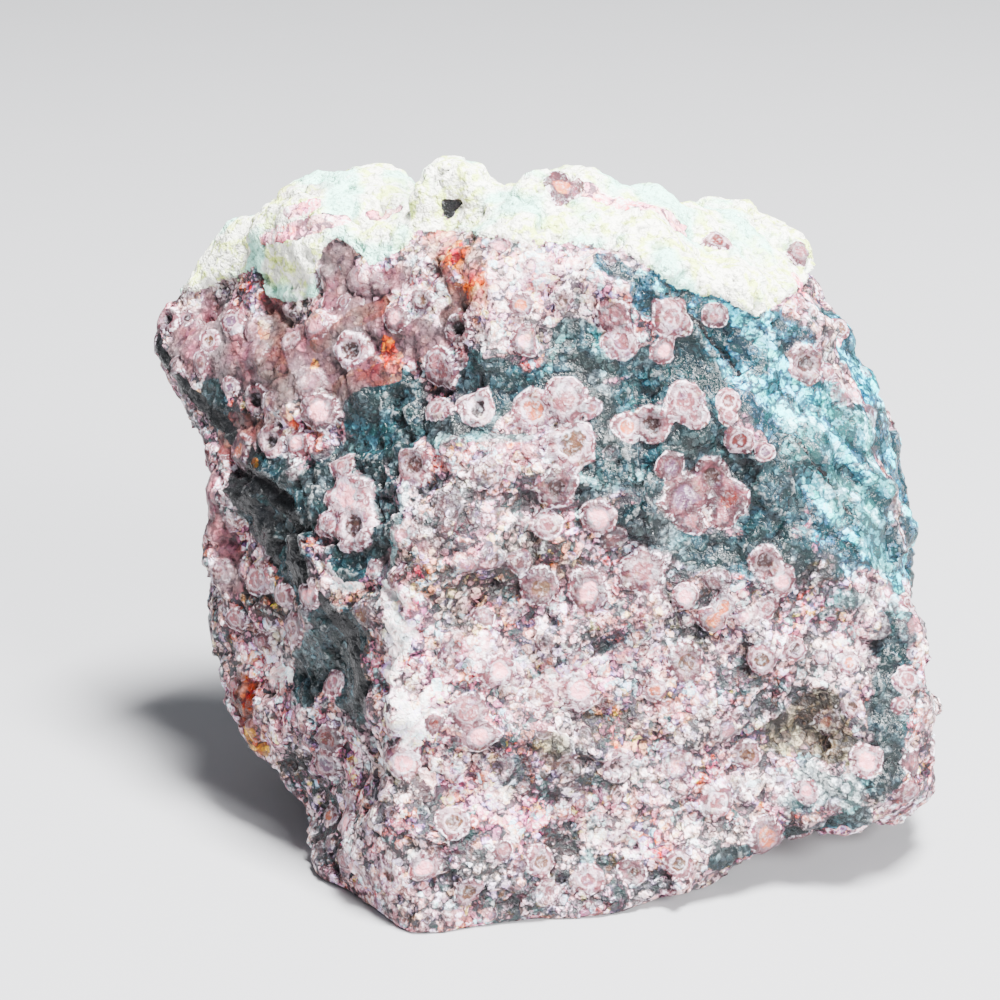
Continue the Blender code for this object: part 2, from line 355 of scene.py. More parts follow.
PATCHES: dict[Ground, tuple[Patch, ...]] = {
    # dark teal matrix
    Ground.GREEN: (
        Patch(34, ((372, 412), (368, 450), (318, 492), (372, 520), (352, 556))),
        Patch(26, ((262, 468), (300, 520))), Patch(20, ((404, 392), (398, 450))),
        Patch(22, ((470, 372), (505, 378))),
        Patch(16, ((412, 416), (440, 430), (470, 424), (505, 398), (548, 380))),
        Patch(14, ((590, 424), (616, 404))), Patch(22, ((574, 338), (566, 366), (586, 372))),
        Patch(36, ((604, 462), (652, 462), (700, 442), (748, 478), (772, 520))),
        Patch(18, ((560, 372), (640, 362), (690, 340))), Patch(24, ((600, 410), (660, 385), (700, 372))),
        Patch(20, ((628, 520), (700, 552), (790, 556))), Patch(20, ((896, 620), (890, 700), (884, 780))),
        Patch(27, ((250, 500), (300, 570), (340, 640))), Patch(26, ((300, 680), (330, 640), (352, 700))),
        Patch(12, ((720, 860), (790, 838), (860, 816))), Patch(18, ((212, 392), (222, 430))),
    ),
    # pale cyan veins
    Ground.VEIL: (
        Patch(3, ((576, 298), (562, 336), (546, 374))), Patch(3, ((578, 298), (596, 330), (604, 374))),
        Patch(3, ((478, 358), (500, 352), (518, 360))), Patch(5, ((440, 440), (490, 437), (530, 436))),
        Patch(4, ((574, 473), (600, 486), (640, 476))), Patch(4, ((408, 480), (398, 530), (385, 590))),
        Patch(20, ((806, 440), (850, 500), (886, 560))), Patch(16, ((830, 400), (870, 440), (884, 480))),
        Patch(8, ((840, 598), (880, 600), (905, 612))), Patch(17, ((798, 804), (812, 786), (846, 792))),
        Patch(6, ((884, 801),)), Patch(5, ((592, 820), (590, 858))),
    ),
    # blue-grey glassy face
    Ground.BLUE: (
        Patch(11, ((606, 262), (636, 278))), Patch(52, ((700, 340), (770, 380), (830, 440), (862, 520))),
        Patch(44, ((846, 336), (876, 390), (900, 470), (914, 560))),
        Patch(26, ((864, 420), (884, 500), (896, 576))), Patch(24, ((650, 296), (700, 316), (780, 334))),
    ),
    # grey mosaic
    Ground.SMOKE: (
        Patch(30, ((440, 500), (500, 505))), Patch(34, ((600, 545), (690, 560), (820, 590))),
        Patch(30, ((430, 860), (520, 890), (640, 880))), Patch(26, ((300, 780), (340, 860))),
        Patch(22, ((560, 640), (620, 670))), Patch(24, ((740, 690), (790, 700))),
        Patch(17, ((660, 634), (700, 638), (720, 620))), Patch(22, ((540, 846), (600, 850), (560, 880))),
        Patch(16, ((430, 800), (470, 860))), Patch(24, ((520, 780), (600, 770))),
    ),
    # brown mosaic
    Ground.UMBER: (
        Patch(26, ((412, 560), (470, 600), (500, 585))), Patch(22, ((560, 560), (520, 548))),
        Patch(18, ((600, 720), (640, 740))), Patch(30, ((262, 590), (300, 618), (350, 620))),
    ),
    # pale pink
    Ground.PALE: (
        Patch(32, ((486, 272), (500, 306), (560, 272), (640, 268))),
        Patch(24, ((410, 300), (450, 312), (520, 316))), Patch(20, ((560, 300), (600, 300))),
        Patch(22, ((430, 700), (470, 730))), Patch(17, ((560, 690), (630, 660), (690, 680))),
        Patch(20, ((360, 300), (400, 320))), Patch(18, ((430, 640), (400, 600))),
        Patch(15, ((480, 650), (520, 680))), Patch(20, ((440, 780), (530, 820))),
        Patch(18, ((600, 830), (670, 850))), Patch(22, ((830, 680), (850, 640))),
        Patch(16, ((720, 640), (740, 600))),
        Patch(5, ((397, 569), (473, 554), (509, 518), (537, 511), (579, 513))),
    ),
    # smooth mauve
    Ground.MAUVE: (
        Patch(22, ((334, 262), (345, 300), (360, 320))), Patch(16, ((385, 282), (405, 280))),
        Patch(40, ((190, 330), (240, 360), (300, 360), (350, 370))), Patch(14, ((371, 562), (388, 545))),
        Patch(18, ((390, 340), (434, 346))), Patch(16, ((206, 480), (216, 530), (232, 580))),
    ),
    # brick red
    Ground.BRICK: (
        Patch(17, ((272, 300), (268, 350), (282, 396))), Patch(14, ((235, 425), (262, 428))),
        Patch(10, ((318, 345), (350, 320), (380, 305))), Patch(12, ((340, 388), (390, 372))),
        Patch(9, ((216, 436), (226, 452))), Patch(9, ((440, 266), (464, 300), (448, 318))),
    ),
    # orange stains
    Ground.ORANGE: (
        Patch(15, ((440, 242), (468, 262), (478, 292))), Patch(8, ((283, 410), (290, 424))),
        Patch(10, ((384, 346), (394, 362))), Patch(7, ((230, 240), (285, 236))),
        Patch(4, ((614, 226), (624, 228))),
    ),
    # amber specks
    Ground.AMBER: (
        Patch(6, ((262, 326), (264, 336))), Patch(5, ((197, 393),)), Patch(6, ((246, 466), (252, 462))),
        Patch(5, ((314, 364),)), Patch(12, ((250, 736), (258, 748))),
    ),
    # red foot
    Ground.RUST: (
        Patch(18, ((240, 688), (244, 718))),
    ),
    # olive and brown pockets
    Ground.OLIVE: (
        Patch(22, ((784, 734), (822, 710), (840, 744))), Patch(12, ((542, 741), (556, 752))),
    ),
    # white chalky edges
    Ground.CHALK: (
        Patch(5, ((319, 562), (346, 587), (384, 579), (404, 604))), Patch(10, ((384, 584), (394, 618))),
        Patch(17, ((398, 636), (392, 668))), Patch(10, ((390, 680), (402, 700))),
        Patch(22, ((412, 720), (428, 712))), Patch(10, ((282, 676), (289, 674))),
        Patch(4, ((400, 800), (412, 860))),
    ),
    # painted shade: near-black ground on the shaded breaks, in the knob's pit and along the cracks
    Ground.DARK: (
        Patch(2, ((668, 294), (682, 312), (698, 322), (712, 342), (728, 354), (741, 374))),
        Patch(2, ((786, 433), (800, 444), (808, 460), (824, 474), (834, 493), (850, 514))),
        Patch(15, ((208, 466), (232, 486), (258, 512), (272, 546))),
        Patch(12, ((234, 470), (262, 486), (284, 506), (298, 540), (302, 580))),
        Patch(10, ((156, 340), (176, 380), (200, 440))), Patch(9, ((318, 600), (350, 640), (360, 700))),
        Patch(5, ((445, 203), (453, 206), (449, 213))), Patch(3, ((453, 205), (462, 203))),
    ),
    # stretches where the crust is missing
    Ground.BARE: (
        Patch(9, ((266, 238), (300, 231), (344, 221))), Patch(6, ((372, 216), (400, 212))),
        Patch(7, ((292, 214), (316, 206))), Patch(8, ((812, 268), (830, 300), (838, 338))),
        Patch(10, ((585, 192), (612, 204), (650, 216), (684, 232))),
    ),
}

# The lower edge of the crust, from left to right.
CRUST_EDGE: tuple[Pixel, ...] = (
    (140, 285), (173, 288), (195, 293), (211, 288), (220, 279), (240, 276), (256, 266), (259, 273),
    (266, 293), (289, 303), (319, 296), (309, 276), (316, 256), (336, 238), (354, 250), (369, 264),
    (385, 259), (400, 253), (411, 243), (421, 230), (488, 236), (546, 243), (579, 246), (620, 250),
    (642, 263), (678, 288), (723, 299), (758, 316), (778, 306), (802, 286), (815, 262), (835, 250),
    (880, 246),
)

LEDGES = (
    Ledge(((300, 470), (406, 441), (480, 435), (560, 432)), 0.9, 0.2, 4.0),
    Ledge(((574, 473), (600, 486), (640, 476)), 0.6, 0.1, 3.0),
    Ledge(((397, 569), (473, 554), (509, 518), (579, 513)), 0.6, 0.1, 3.5),
    Ledge(((319, 562), (346, 587), (384, 585), (404, 604)), -0.5, 0.3, 2.5),
    Ledge(((580, 757), (604, 765), (626, 762)), -0.9, 0.9, 2.5, 0.4),
    Ledge(((878, 612), (873, 700), (878, 790)), -0.3, 0.4, 2.0),
    Ledge(((664, 290), (690, 316), (712, 340), (739, 372)), 0.3, 0.8, 2.5),
    Ledge(((700, 300), (760, 330)), 0.3, 0.3, 2.0),
    Ledge(((786, 433), (812, 460), (836, 493), (849, 513)), 0.4, 0.8, 2.5),
    Ledge(((800, 420), (850, 440), (884, 480)), 0.5, 0.2, 2.5),
    Ledge(((230, 464), (262, 480), (286, 501), (302, 538), (308, 584)), -0.6, 0.9, 3.0, 0.5),
    Ledge(((206, 462), (240, 480), (268, 512), (290, 556)), 0.2, 0.4, 2.0),
    Ledge(((262, 240), (344, 222), (424, 214)), 0.25, 0.0, 2.0),
    Ledge(((430, 184), (437, 198), (446, 208), (466, 210), (484, 196), (492, 184)), 0.0, 0.9, 1.0),
    Ledge(((446, 202), (449, 214)), 0.0, 1.3, 1.0, 0.5),
    Ledge(((450, 204), (463, 201)), 0.0, 0.8, 1.0, 0.4),
    Ledge(((505, 184), (512, 200), (508, 216)), 0.0, 0.4, 1.0),
    Ledge(((372, 196), (392, 214), (424, 216)), 0.0, 0.5, 1.0),
    Ledge(((740, 606), (800, 640), (872, 650)), 0.3, 0.2, 2.5),
)


@dataclass(frozen=True)
class Viewpoint:
    """The camera that stands where the photograph's camera stood.

    Attributes:
        aim: The point in the middle of the picture, in millimetres.
        elevation: How far the camera looks down, in degrees.
        distance: How far it stands from the aim, in millimetres.
        lens: Its focal length, in millimetres.
        sensor: The breadth of its sensor, in millimetres.
        near: The distance at which it starts to see, in metres.
        far: The distance at which it stops seeing, in metres.
    """

    aim: tuple[float, float, float] = (-3.9, -1.8, 34.7)
    elevation: float = 20.0
    distance: float = 300.0
    lens: float = 108.0
    sensor: float = 36.0
    near: float = 0.01
    far: float = 10.0

    @property
    def back(self) -> np.ndarray:
        """The direction from the aim to the camera."""
        tilt = math.radians(self.elevation)
        return np.array((0.0, -math.cos(tilt), math.sin(tilt)))

    @property
    def up(self) -> np.ndarray:
        """The direction that is up in the picture."""
        tilt = math.radians(self.elevation)
        return np.array((0.0, math.sin(tilt), math.cos(tilt)))

    @property
    def eye(self) -> np.ndarray:
        """The place of the camera, in millimetres."""
        return np.array(self.aim) + self.back * self.distance

    def ray(self, pixel: Pixel) -> np.ndarray:
        """Works out the direction from the camera through a pixel.

        Args:
            pixel: The pixel column and row.

        Returns:
            The direction, of length 1.
        """
        reach = self.sensor / self.lens / FRAME_PIXELS
        across = (pixel[0] - FRAME_PIXELS / 2.0) * reach
        rise = (FRAME_PIXELS / 2.0 - pixel[1]) * reach
        way = -self.back + np.array((across, 0.0, 0.0)) + self.up * rise
        return way / np.linalg.norm(way)

    def pixels(self, points: np.ndarray) -> np.ndarray:
        """Says which pixel each point of the model falls on.

        Args:
            points: Points in millimetres, one a row.

        Returns:
            The pixel column and row of each point.
        """
        seen = points - self.eye
        depth = seen @ -self.back
        scale = self.lens / self.sensor * FRAME_PIXELS / depth
        half = FRAME_PIXELS / 2.0
        return np.stack((half + seen[:, 0] * scale, half - (seen @ self.up) * scale), axis=1)

    def build(self) -> bpy.types.Object:
        """Makes the camera and gives it to the scene.

        Returns:
            The camera.
        """
        data = bpy.data.cameras.new("photograph_view")
        data.lens = self.lens
        data.sensor_width = self.sensor
        data.clip_start = self.near
        data.clip_end = self.far
        camera = bpy.data.objects.new("photograph_view", data)
        camera.location = Vector(self.eye * MM)
        camera.rotation_mode = "QUATERNION"
        camera.rotation_quaternion = Vector(-self.back).to_track_quat("-Z", "Y")
        bpy.context.scene.collection.objects.link(camera)
        bpy.context.scene.camera = camera
        return camera


@dataclass
class Surface:
    """The stone's surface as arrays, on which places in the photograph can be found.

    Attributes:
        points: The vertices in millimetres, one a row.
        normals: The outward direction at each vertex.
        tree: The surface as a tree that rays can be cast at.
        view: The photograph's camera.
    """

    points: np.ndarray
    normals: np.ndarray
    tree: BVHTree
    view: Viewpoint

    def hit(self, pixel: Pixel) -> np.ndarray:
        """Finds the place on the stone that a pixel shows.

        Args:
            pixel: The pixel column and row.

        Returns:
            The place in millimetres. A pixel just outside the outline gives the nearest place on the stone.
        """
        eye = self.view.eye
        way = self.view.ray(pixel)
        place = self.tree.ray_cast(Vector(eye), Vector(way))[0]
        if place is None:
            place = self.tree.find_nearest(Vector(eye + way * self.view.distance))[0]
        return np.array(place)

    def gap(self, line: tuple[Pixel, ...]) -> np.ndarray:
        """Measures from every vertex to a line on the surface.

        Args:
            line: The pixels that the line runs through.

        Returns:
            The distance of each vertex, in millimetres.
        """
        knots = [self.hit(pixel) for pixel in line]
        if len(knots) == 1:
            return np.linalg.norm(self.points - knots[0], axis=1)
        gaps = np.full(len(self.points), np.inf)
        for start, end in zip(knots[:-1], knots[1:]):
            along = end - start
            share = np.clip((self.points - start) @ along / (along @ along), 0.0, 1.0)
            gaps = np.minimum(gaps, np.linalg.norm(self.points - start - share[:, None] * along, axis=1))
        return gaps

    @property
    def hidden(self) -> np.ndarray:
        """How far each vertex is turned away from the photograph's camera, 0 to 1."""
        return ease(*TURNED_AWAY, self.normals @ self.view.back)


@dataclass
class OrbField:
    """All the orbs of the stone: those seen in the photograph, and scattered ones between and behind them.

    Attributes:
        seed: The seed of the scatter.
        tries: How many places are tried for a scattered orb.
        radii: The smallest and the largest radius of a scattered orb, in millimetres.
        spacing: How close two orbs may come, as a share of their radii added together.
        swell: How much larger the orbs are drawn than they were measured, to allow for uneven outlines.
        uneven: How far the outline of an orb wanders, as a share of its radius.
        faint: How clearly the faintest scattered orb stands out from the ground, 0 to 1.
        clear: How clearly the plainest scattered orb stands out.
        quiet: How much fainter the scattered orbs are on the side that the photograph shows.
        reach: How much shorter distances along the camera's line count for the orbs of the photograph.
        small_lean: How strongly the scattered orbs lean to the small radius, 1 for not at all.
        faint_lean: How strongly they lean to being faint.
        wander_size: The breadth of the wandering of an outline, in millimetres.
        batch: How many vertices are matched with the orbs at a time.
        middles: The middle of each orb, in millimetres.
        sizes: The radius of each orb, in millimetres.
        cores: What fills the middle of each orb.
        shows: How clearly each orb stands out from the ground, 0 to 1.
    """

    seed: int = 7
    tries: int = 8000
    radii: tuple[float, float] = (0.75, 1.9)
    spacing: float = 0.88
    swell: float = 1.06
    uneven: float = 0.28
    faint: float = 0.2
    clear: float = 0.9
    quiet: float = 0.35
    reach: float = 0.5
    small_lean: float = 1.5
    faint_lean: int = 2
    wander_size: float = 1.9
    batch: int = 2000
    middles: list[np.ndarray] = field(default_factory=list)
    sizes: list[float] = field(default_factory=list)
    cores: list[Core] = field(default_factory=list)
    shows: list[float] = field(default_factory=list)

    def add(self, middle: np.ndarray, size: float, core: Core, show: float) -> None:
        """Adds one orb.

        Args:
            middle: Its middle, in millimetres.
            size: Its radius, in millimetres.
            core: What fills its middle.
            show: How clearly it stands out from the ground, 0 to 1.
        """
        self.middles.append(middle)
        self.sizes.append(size)
        self.cores.append(core)
        self.shows.append(show)

    def place_seen(self, surface: Surface) -> None:
        """Puts each orb of the photograph where its pixel falls on the surface.

        Args:
            surface: The stone's surface.
        """
        for orb in ORBS:
            size = orb.radius * MM_PER_PIXEL * self.swell
            self.add(surface.hit((orb.across, orb.down)), size, orb.core, 1.0)

    def scatter(self, surface: Surface, room: np.ndarray) -> None:
        """Fills the rest of the stone with orbs of many sizes.

        Args:
            surface: The stone's surface.
            room: The chance from 0 to 1 that a place takes an orb, for each vertex.
        """
        random = np.random.default_rng(self.seed)
        picks = random.permutation(len(surface.points))[: self.tries]
        hidden = surface.hidden
        calm = 1.0 - self.quiet * (1.0 - hidden)
        kinds = tuple(CORE_ODDS)
        odds = tuple(CORE_ODDS.values())
        small, large = self.radii
        for pick in picks:
            chance, share, show = random.random(3)
            core = kinds[random.choice(len(kinds), p=odds)]
            if chance > room[pick]:
                continue
            if core is Core.HOLLOW and hidden[pick] < 0.5:
                core = Core.TAN
            size = small + (large - small) * share ** self.small_lean
            gaps = np.linalg.norm(np.array(self.middles) - surface.points[pick], axis=1)
            if (gaps < self.spacing * (np.array(self.sizes) + size)).any():
                continue
            clearness = self.faint + (self.clear - self.faint) * show ** self.faint_lean
            self.add(surface.points[pick], size, core, clearness * calm[pick])

    def nearest(self, surface: Surface) -> tuple[np.ndarray, np.ndarray]:
        """Finds which orb each vertex belongs to.

        Args:
            surface: The stone's surface.

        Returns:
            How far out each vertex is, in radii of its orb, and the number of that orb.
        """
        points = surface.points
        back = surface.view.back
        middles = np.array(self.middles)
        sizes = np.array(self.sizes)
        cut = np.zeros(len(sizes))
        cut[:len(ORBS)] = 1.0 - self.reach ** 2
        outs = np.empty(len(points))
        owners = np.empty(len(points), int)
        for first in range(0, len(points), self.batch):
            part = slice(first, first + self.batch)
            away = points[part, None, :] - middles[None, :, :]
            share = np.sqrt((away ** 2).sum(axis=2) - cut * (away @ back) ** 2) / sizes
            owners[part] = share.argmin(axis=1)
            outs[part] = share.min(axis=1)
        wander = cloud(points, self.wander_size, 3, 70.0)
        return np.clip(outs + self.uneven * wander * ease(0.1, 0.8, outs), 0.0, 2.0), owners


@dataclass
class GroundMap:
    """Where each kind of ground lies.

    Attributes:
        wobble: How far the edge of a patch wanders, as a share of its radius.
        wobble_size: The breadth of that wandering, in millimetres.
        broken: How much more the pale veils and edges wander than other grounds.
        firm: How sharply a patch ends.
        far_size: The breadth of the patches on the sides that the photograph doesn't show, in millimetres.
        far_firm: How sharply those patches end.
        ragged: How far the crust's edge wanders where the photograph shows it, in millimetres.
        far_ragged: How far it wanders on the other sides.
        masks: For each kind of ground, a number from 0 to 1 at every vertex, 0.5 at its edge.
        crust: The same for the crust.
        bare: Where the crust is missing, 0 to 1.
    """

    wobble: float = 0.45
    wobble_size: float = 3.5
    broken: float = 2.6
    firm: float = 0.9
    far_size: float = 15.0
    far_firm: float = 3.0
    ragged: float = 0.5
    far_ragged: float = 2.0
    masks: dict[Ground, np.ndarray] = field(default_factory=dict)
    crust: np.ndarray = field(default_factory=lambda: np.zeros(0))
    bare: np.ndarray = field(default_factory=lambda: np.zeros(0))

    def lay(self, surface: Surface) -> None:
        """Works out the mask of every kind of ground and of the crust.

        Args:
            surface: The stone's surface.
        """
        wander = self.wobble * cloud(surface.points, self.wobble_size, 3, 11.0)
        hidden = surface.hidden
        for number, ground in enumerate(Ground):
            inside = np.full(len(surface.points), -2.0)
            for patch in PATCHES[ground]:
                share = surface.gap(patch.line) / (patch.radius * MM_PER_PIXEL)
                inside = np.maximum(inside, 1.0 - share)
            if ground in FAR_RARITY:
                far = cloud(surface.points, self.far_size, 3, 40.0 + 31.0 * number) - FAR_RARITY[ground]
                inside = np.maximum(inside, self.far_firm * far - self.far_firm * (1.0 - hidden))
            broken = self.broken if ground in (Ground.VEIL, Ground.CHALK) else 1.0
            self.masks[ground] = np.clip(0.5 + self.firm * (inside + broken * wander), 0.0, 1.0)
        self.crust = self.lay_crust(surface)
        # The crust is also left off where the painted shade of the pit lies.
        self.bare = ease(0.35, 0.65, np.maximum(self.masks[Ground.BARE], self.masks[Ground.DARK]))

    def lay_crust(self, surface: Surface) -> np.ndarray:
        """Works out how far inside the crust each vertex lies.

        Args:
            surface: The stone's surface.

        Returns:
            A number for each vertex, 0 outside the crust, 0.5 at its edge and 1 well inside.
        """
        seen = surface.view.pixels(surface.points)
        columns = np.array([pixel[0] for pixel in CRUST_EDGE])
        rows = np.array([pixel[1] for pixel in CRUST_EDGE])
        edge = np.interp(seen[:, 0], columns, rows)
        above = (edge - seen[:, 1]) * MM_PER_PIXEL
        ragged = self.ragged * cloud(surface.points, 2.2, 3, 5.0)
        ragged += self.far_ragged * surface.hidden * cloud(surface.points, 9.0, 2, 6.0)
        return np.clip(0.5 + 0.5 * (above + ragged), 0.0, 1.0)


def hollows(mesh: bpy.types.Mesh, height: np.ndarray, rounds: int) -> np.ndarray:
    """Says how far each vertex lies below the vertices around it.

    Args:
        mesh: The surface.
        height: The height of each vertex.
        rounds: How many rings of neighbours are looked at.

    Returns:
        The depth of each vertex below its neighbourhood. Above it the number is negative.
    """
    ends = np.empty(len(mesh.edges) * 2, int)
    mesh.edges.foreach_get("vertices", ends)
    first, second = ends[0::2], ends[1::2]
    count = np.bincount(ends, minlength=len(height))
    level = height.copy()
    for _ in range(rounds):
        total = np.bincount(first, level[second], len(height))
        total += np.bincount(second, level[first], len(height))
        level = 0.5 * level + 0.5 * total / count
    return level - height


@dataclass
class Relief:
    """Everything that stands out of the stone or is sunk into it, in millimetres.

    Attributes:
        hackle: The height of the rough breaks, and their breadth.
        flake: The height of the small broken facets, and their breadth.
        slab: The height of the large broken facets, and their breadth.
        crease: The depth of the cracks between larger breaks, and the distance between them.
        streak: The height of the long flakes on the glassy face, and their breadth.
        grit: The height of the finest grain that the mesh carries, and its breadth.
        crust_lift: How far the crust stands proud of the broken stone.
        granule: The height of the crust's granules, and their breadth.
        lump: The height of the crust's lumps, and their breadth.
        pit: The depth of the crust's pits, and their breadth.
        orb_dome: The height of an orb, as a share of its radius.
        orb_rim: The height of its raised rim, as a share of its radius.
        orb_groove: The depth of the groove around it, as a share of its radius.
        drawn_in: How far the whole surface is drawn in, to leave room for what stands out of it.
        foot_band: The heights above the foot at which the relief starts and is whole.
        step_breadth: Half the breadth over which a ledge rises.
    """

    hackle: Form = (0.42, 3.4)
    flake: Form = (1.1, 2.6)
    slab: Form = (1.76, 7.0)
    crease: Form = (0.5, 6.0)
    streak: Form = (0.7, 2.4)
    grit: Form = (0.18, 0.95)
    crust_lift: float = 0.45
    granule: Form = (0.42, 1.15)
    lump: Form = (0.7, 3.4)
    pit: Form = (0.7, 1.9)
    orb_dome: float = 0.32
    orb_rim: float = 0.06
    orb_groove: float = 0.07
    drawn_in: float = 0.15
    foot_band: tuple[float, float] = (0.2, 1.8)
    step_breadth: float = 0.35

    def orb_height(self, orbs: OrbField, out: np.ndarray, owner: np.ndarray) -> np.ndarray:
        """Shapes each orb as a low dome with a raised rim, a sunk middle and a groove around it.

        Args:
            orbs: The orbs.
            out: How far out each vertex is, in radii of its orb.
            owner: The number of that orb.

        Returns:
            The height at each vertex.
        """
        size = np.array(orbs.sizes)[owner]
        sunk = np.array([SUNK.get(core, PLAIN_SUNK) for core in orbs.cores])[owner]
        dome = self.orb_dome * np.sqrt(np.clip(1.0 - out ** 2, 0.0, 1.0))
        rim = self.orb_rim * np.exp(-((out - 0.8) / 0.14) ** 2)
        pit = sunk * ease(0.6, 0.3, out)
        groove = self.orb_groove * np.exp(-((out - 1.12) / 0.12) ** 2)
        return size * (dome + rim - pit - groove)

    def ledges(self, surface: Surface) -> np.ndarray:
        """Works out the steps and cracks that the photograph shows.

        Args:
            surface: The stone's surface.

        Returns:
            The height at each vertex.
        """
        height = np.zeros(len(surface.points))
        seen = surface.view.pixels(surface.points)
        for ledge in LEDGES:
            gap = surface.gap(ledge.line)
            columns = np.array([pixel[0] for pixel in ledge.line])
            rows = np.array([pixel[1] for pixel in ledge.line])
            below = (seen[:, 1] - np.interp(seen[:, 0], columns, rows)) * MM_PER_PIXEL
            side = np.clip(below / self.step_breadth, -1.0, 1.0)
            height += 0.5 * ledge.rise * side * np.exp(-gap / ledge.reach)
            height -= ledge.groove * np.exp(-((gap / ledge.breadth) ** 2))
        return height

    def raise_on(self, surface: Surface, ground: GroundMap, orbs: OrbField, out: np.ndarray,
                 owner: np.ndarray) -> np.ndarray:
        """Adds up the whole relief.

        Args:
            surface: The stone's surface.
            ground: Where each kind of ground lies.
            orbs: The orbs.
            out: How far out each vertex is, in radii of its orb.
            owner: The number of that orb.

        Returns:
            How far each vertex moves along its normal.
        """
        points = surface.points
        masks = ground.masks
        calm = 1.0 - 0.55 * np.maximum(masks[Ground.BLUE], masks[Ground.MAUVE])
        calm *= 1.0 - 0.7 * masks[Ground.DARK]
        rough = self.hackle[0] * cloud(points, self.hackle[1], 3, 21.0) * calm
        rough += self.flake[0] * facets(points, self.flake[1], 9.0) * calm
        rough += self.slab[0] * facets(points, self.slab[1], 29.0)
        crack = np.exp(-((cloud(points, self.crease[1], 3, 61.0) / 0.05) ** 2))
        rough -= self.crease[0] * crack * ease(0.0, 0.3, cloud(points, 8.0, 1, 81.0))
        rough += self.streak[0] * streaks(points, self.streak[1], 14.0) * masks[Ground.BLUE]
        rough += self.grit[0] * (0.9 - 2.0 * cells(points, self.grit[1], 3.0)) * calm
        orb = self.orb_height(orbs, out, owner)
        worn = rough * (1.0 - 0.6 * ease(1.05, 0.9, out)) + orb + self.ledges(surface)
        crusted = self.crust_lift + self.granule[0] * (0.55 - cells(points, self.granule[1], 17.0))
        crusted += self.lump[0] * cloud(points, self.lump[1], 3, 33.0)
        crusted -= self.pit[0] * ease(0.35, 0.6, cloud(points, self.pit[1], 2, 51.0))
        crust = ease(0.42, 0.6, ground.crust)
        height = worn * (1.0 - crust) + (crusted + orb * 0.8) * crust
        return (height - self.drawn_in) * ease(*self.foot_band, points[:, 2])


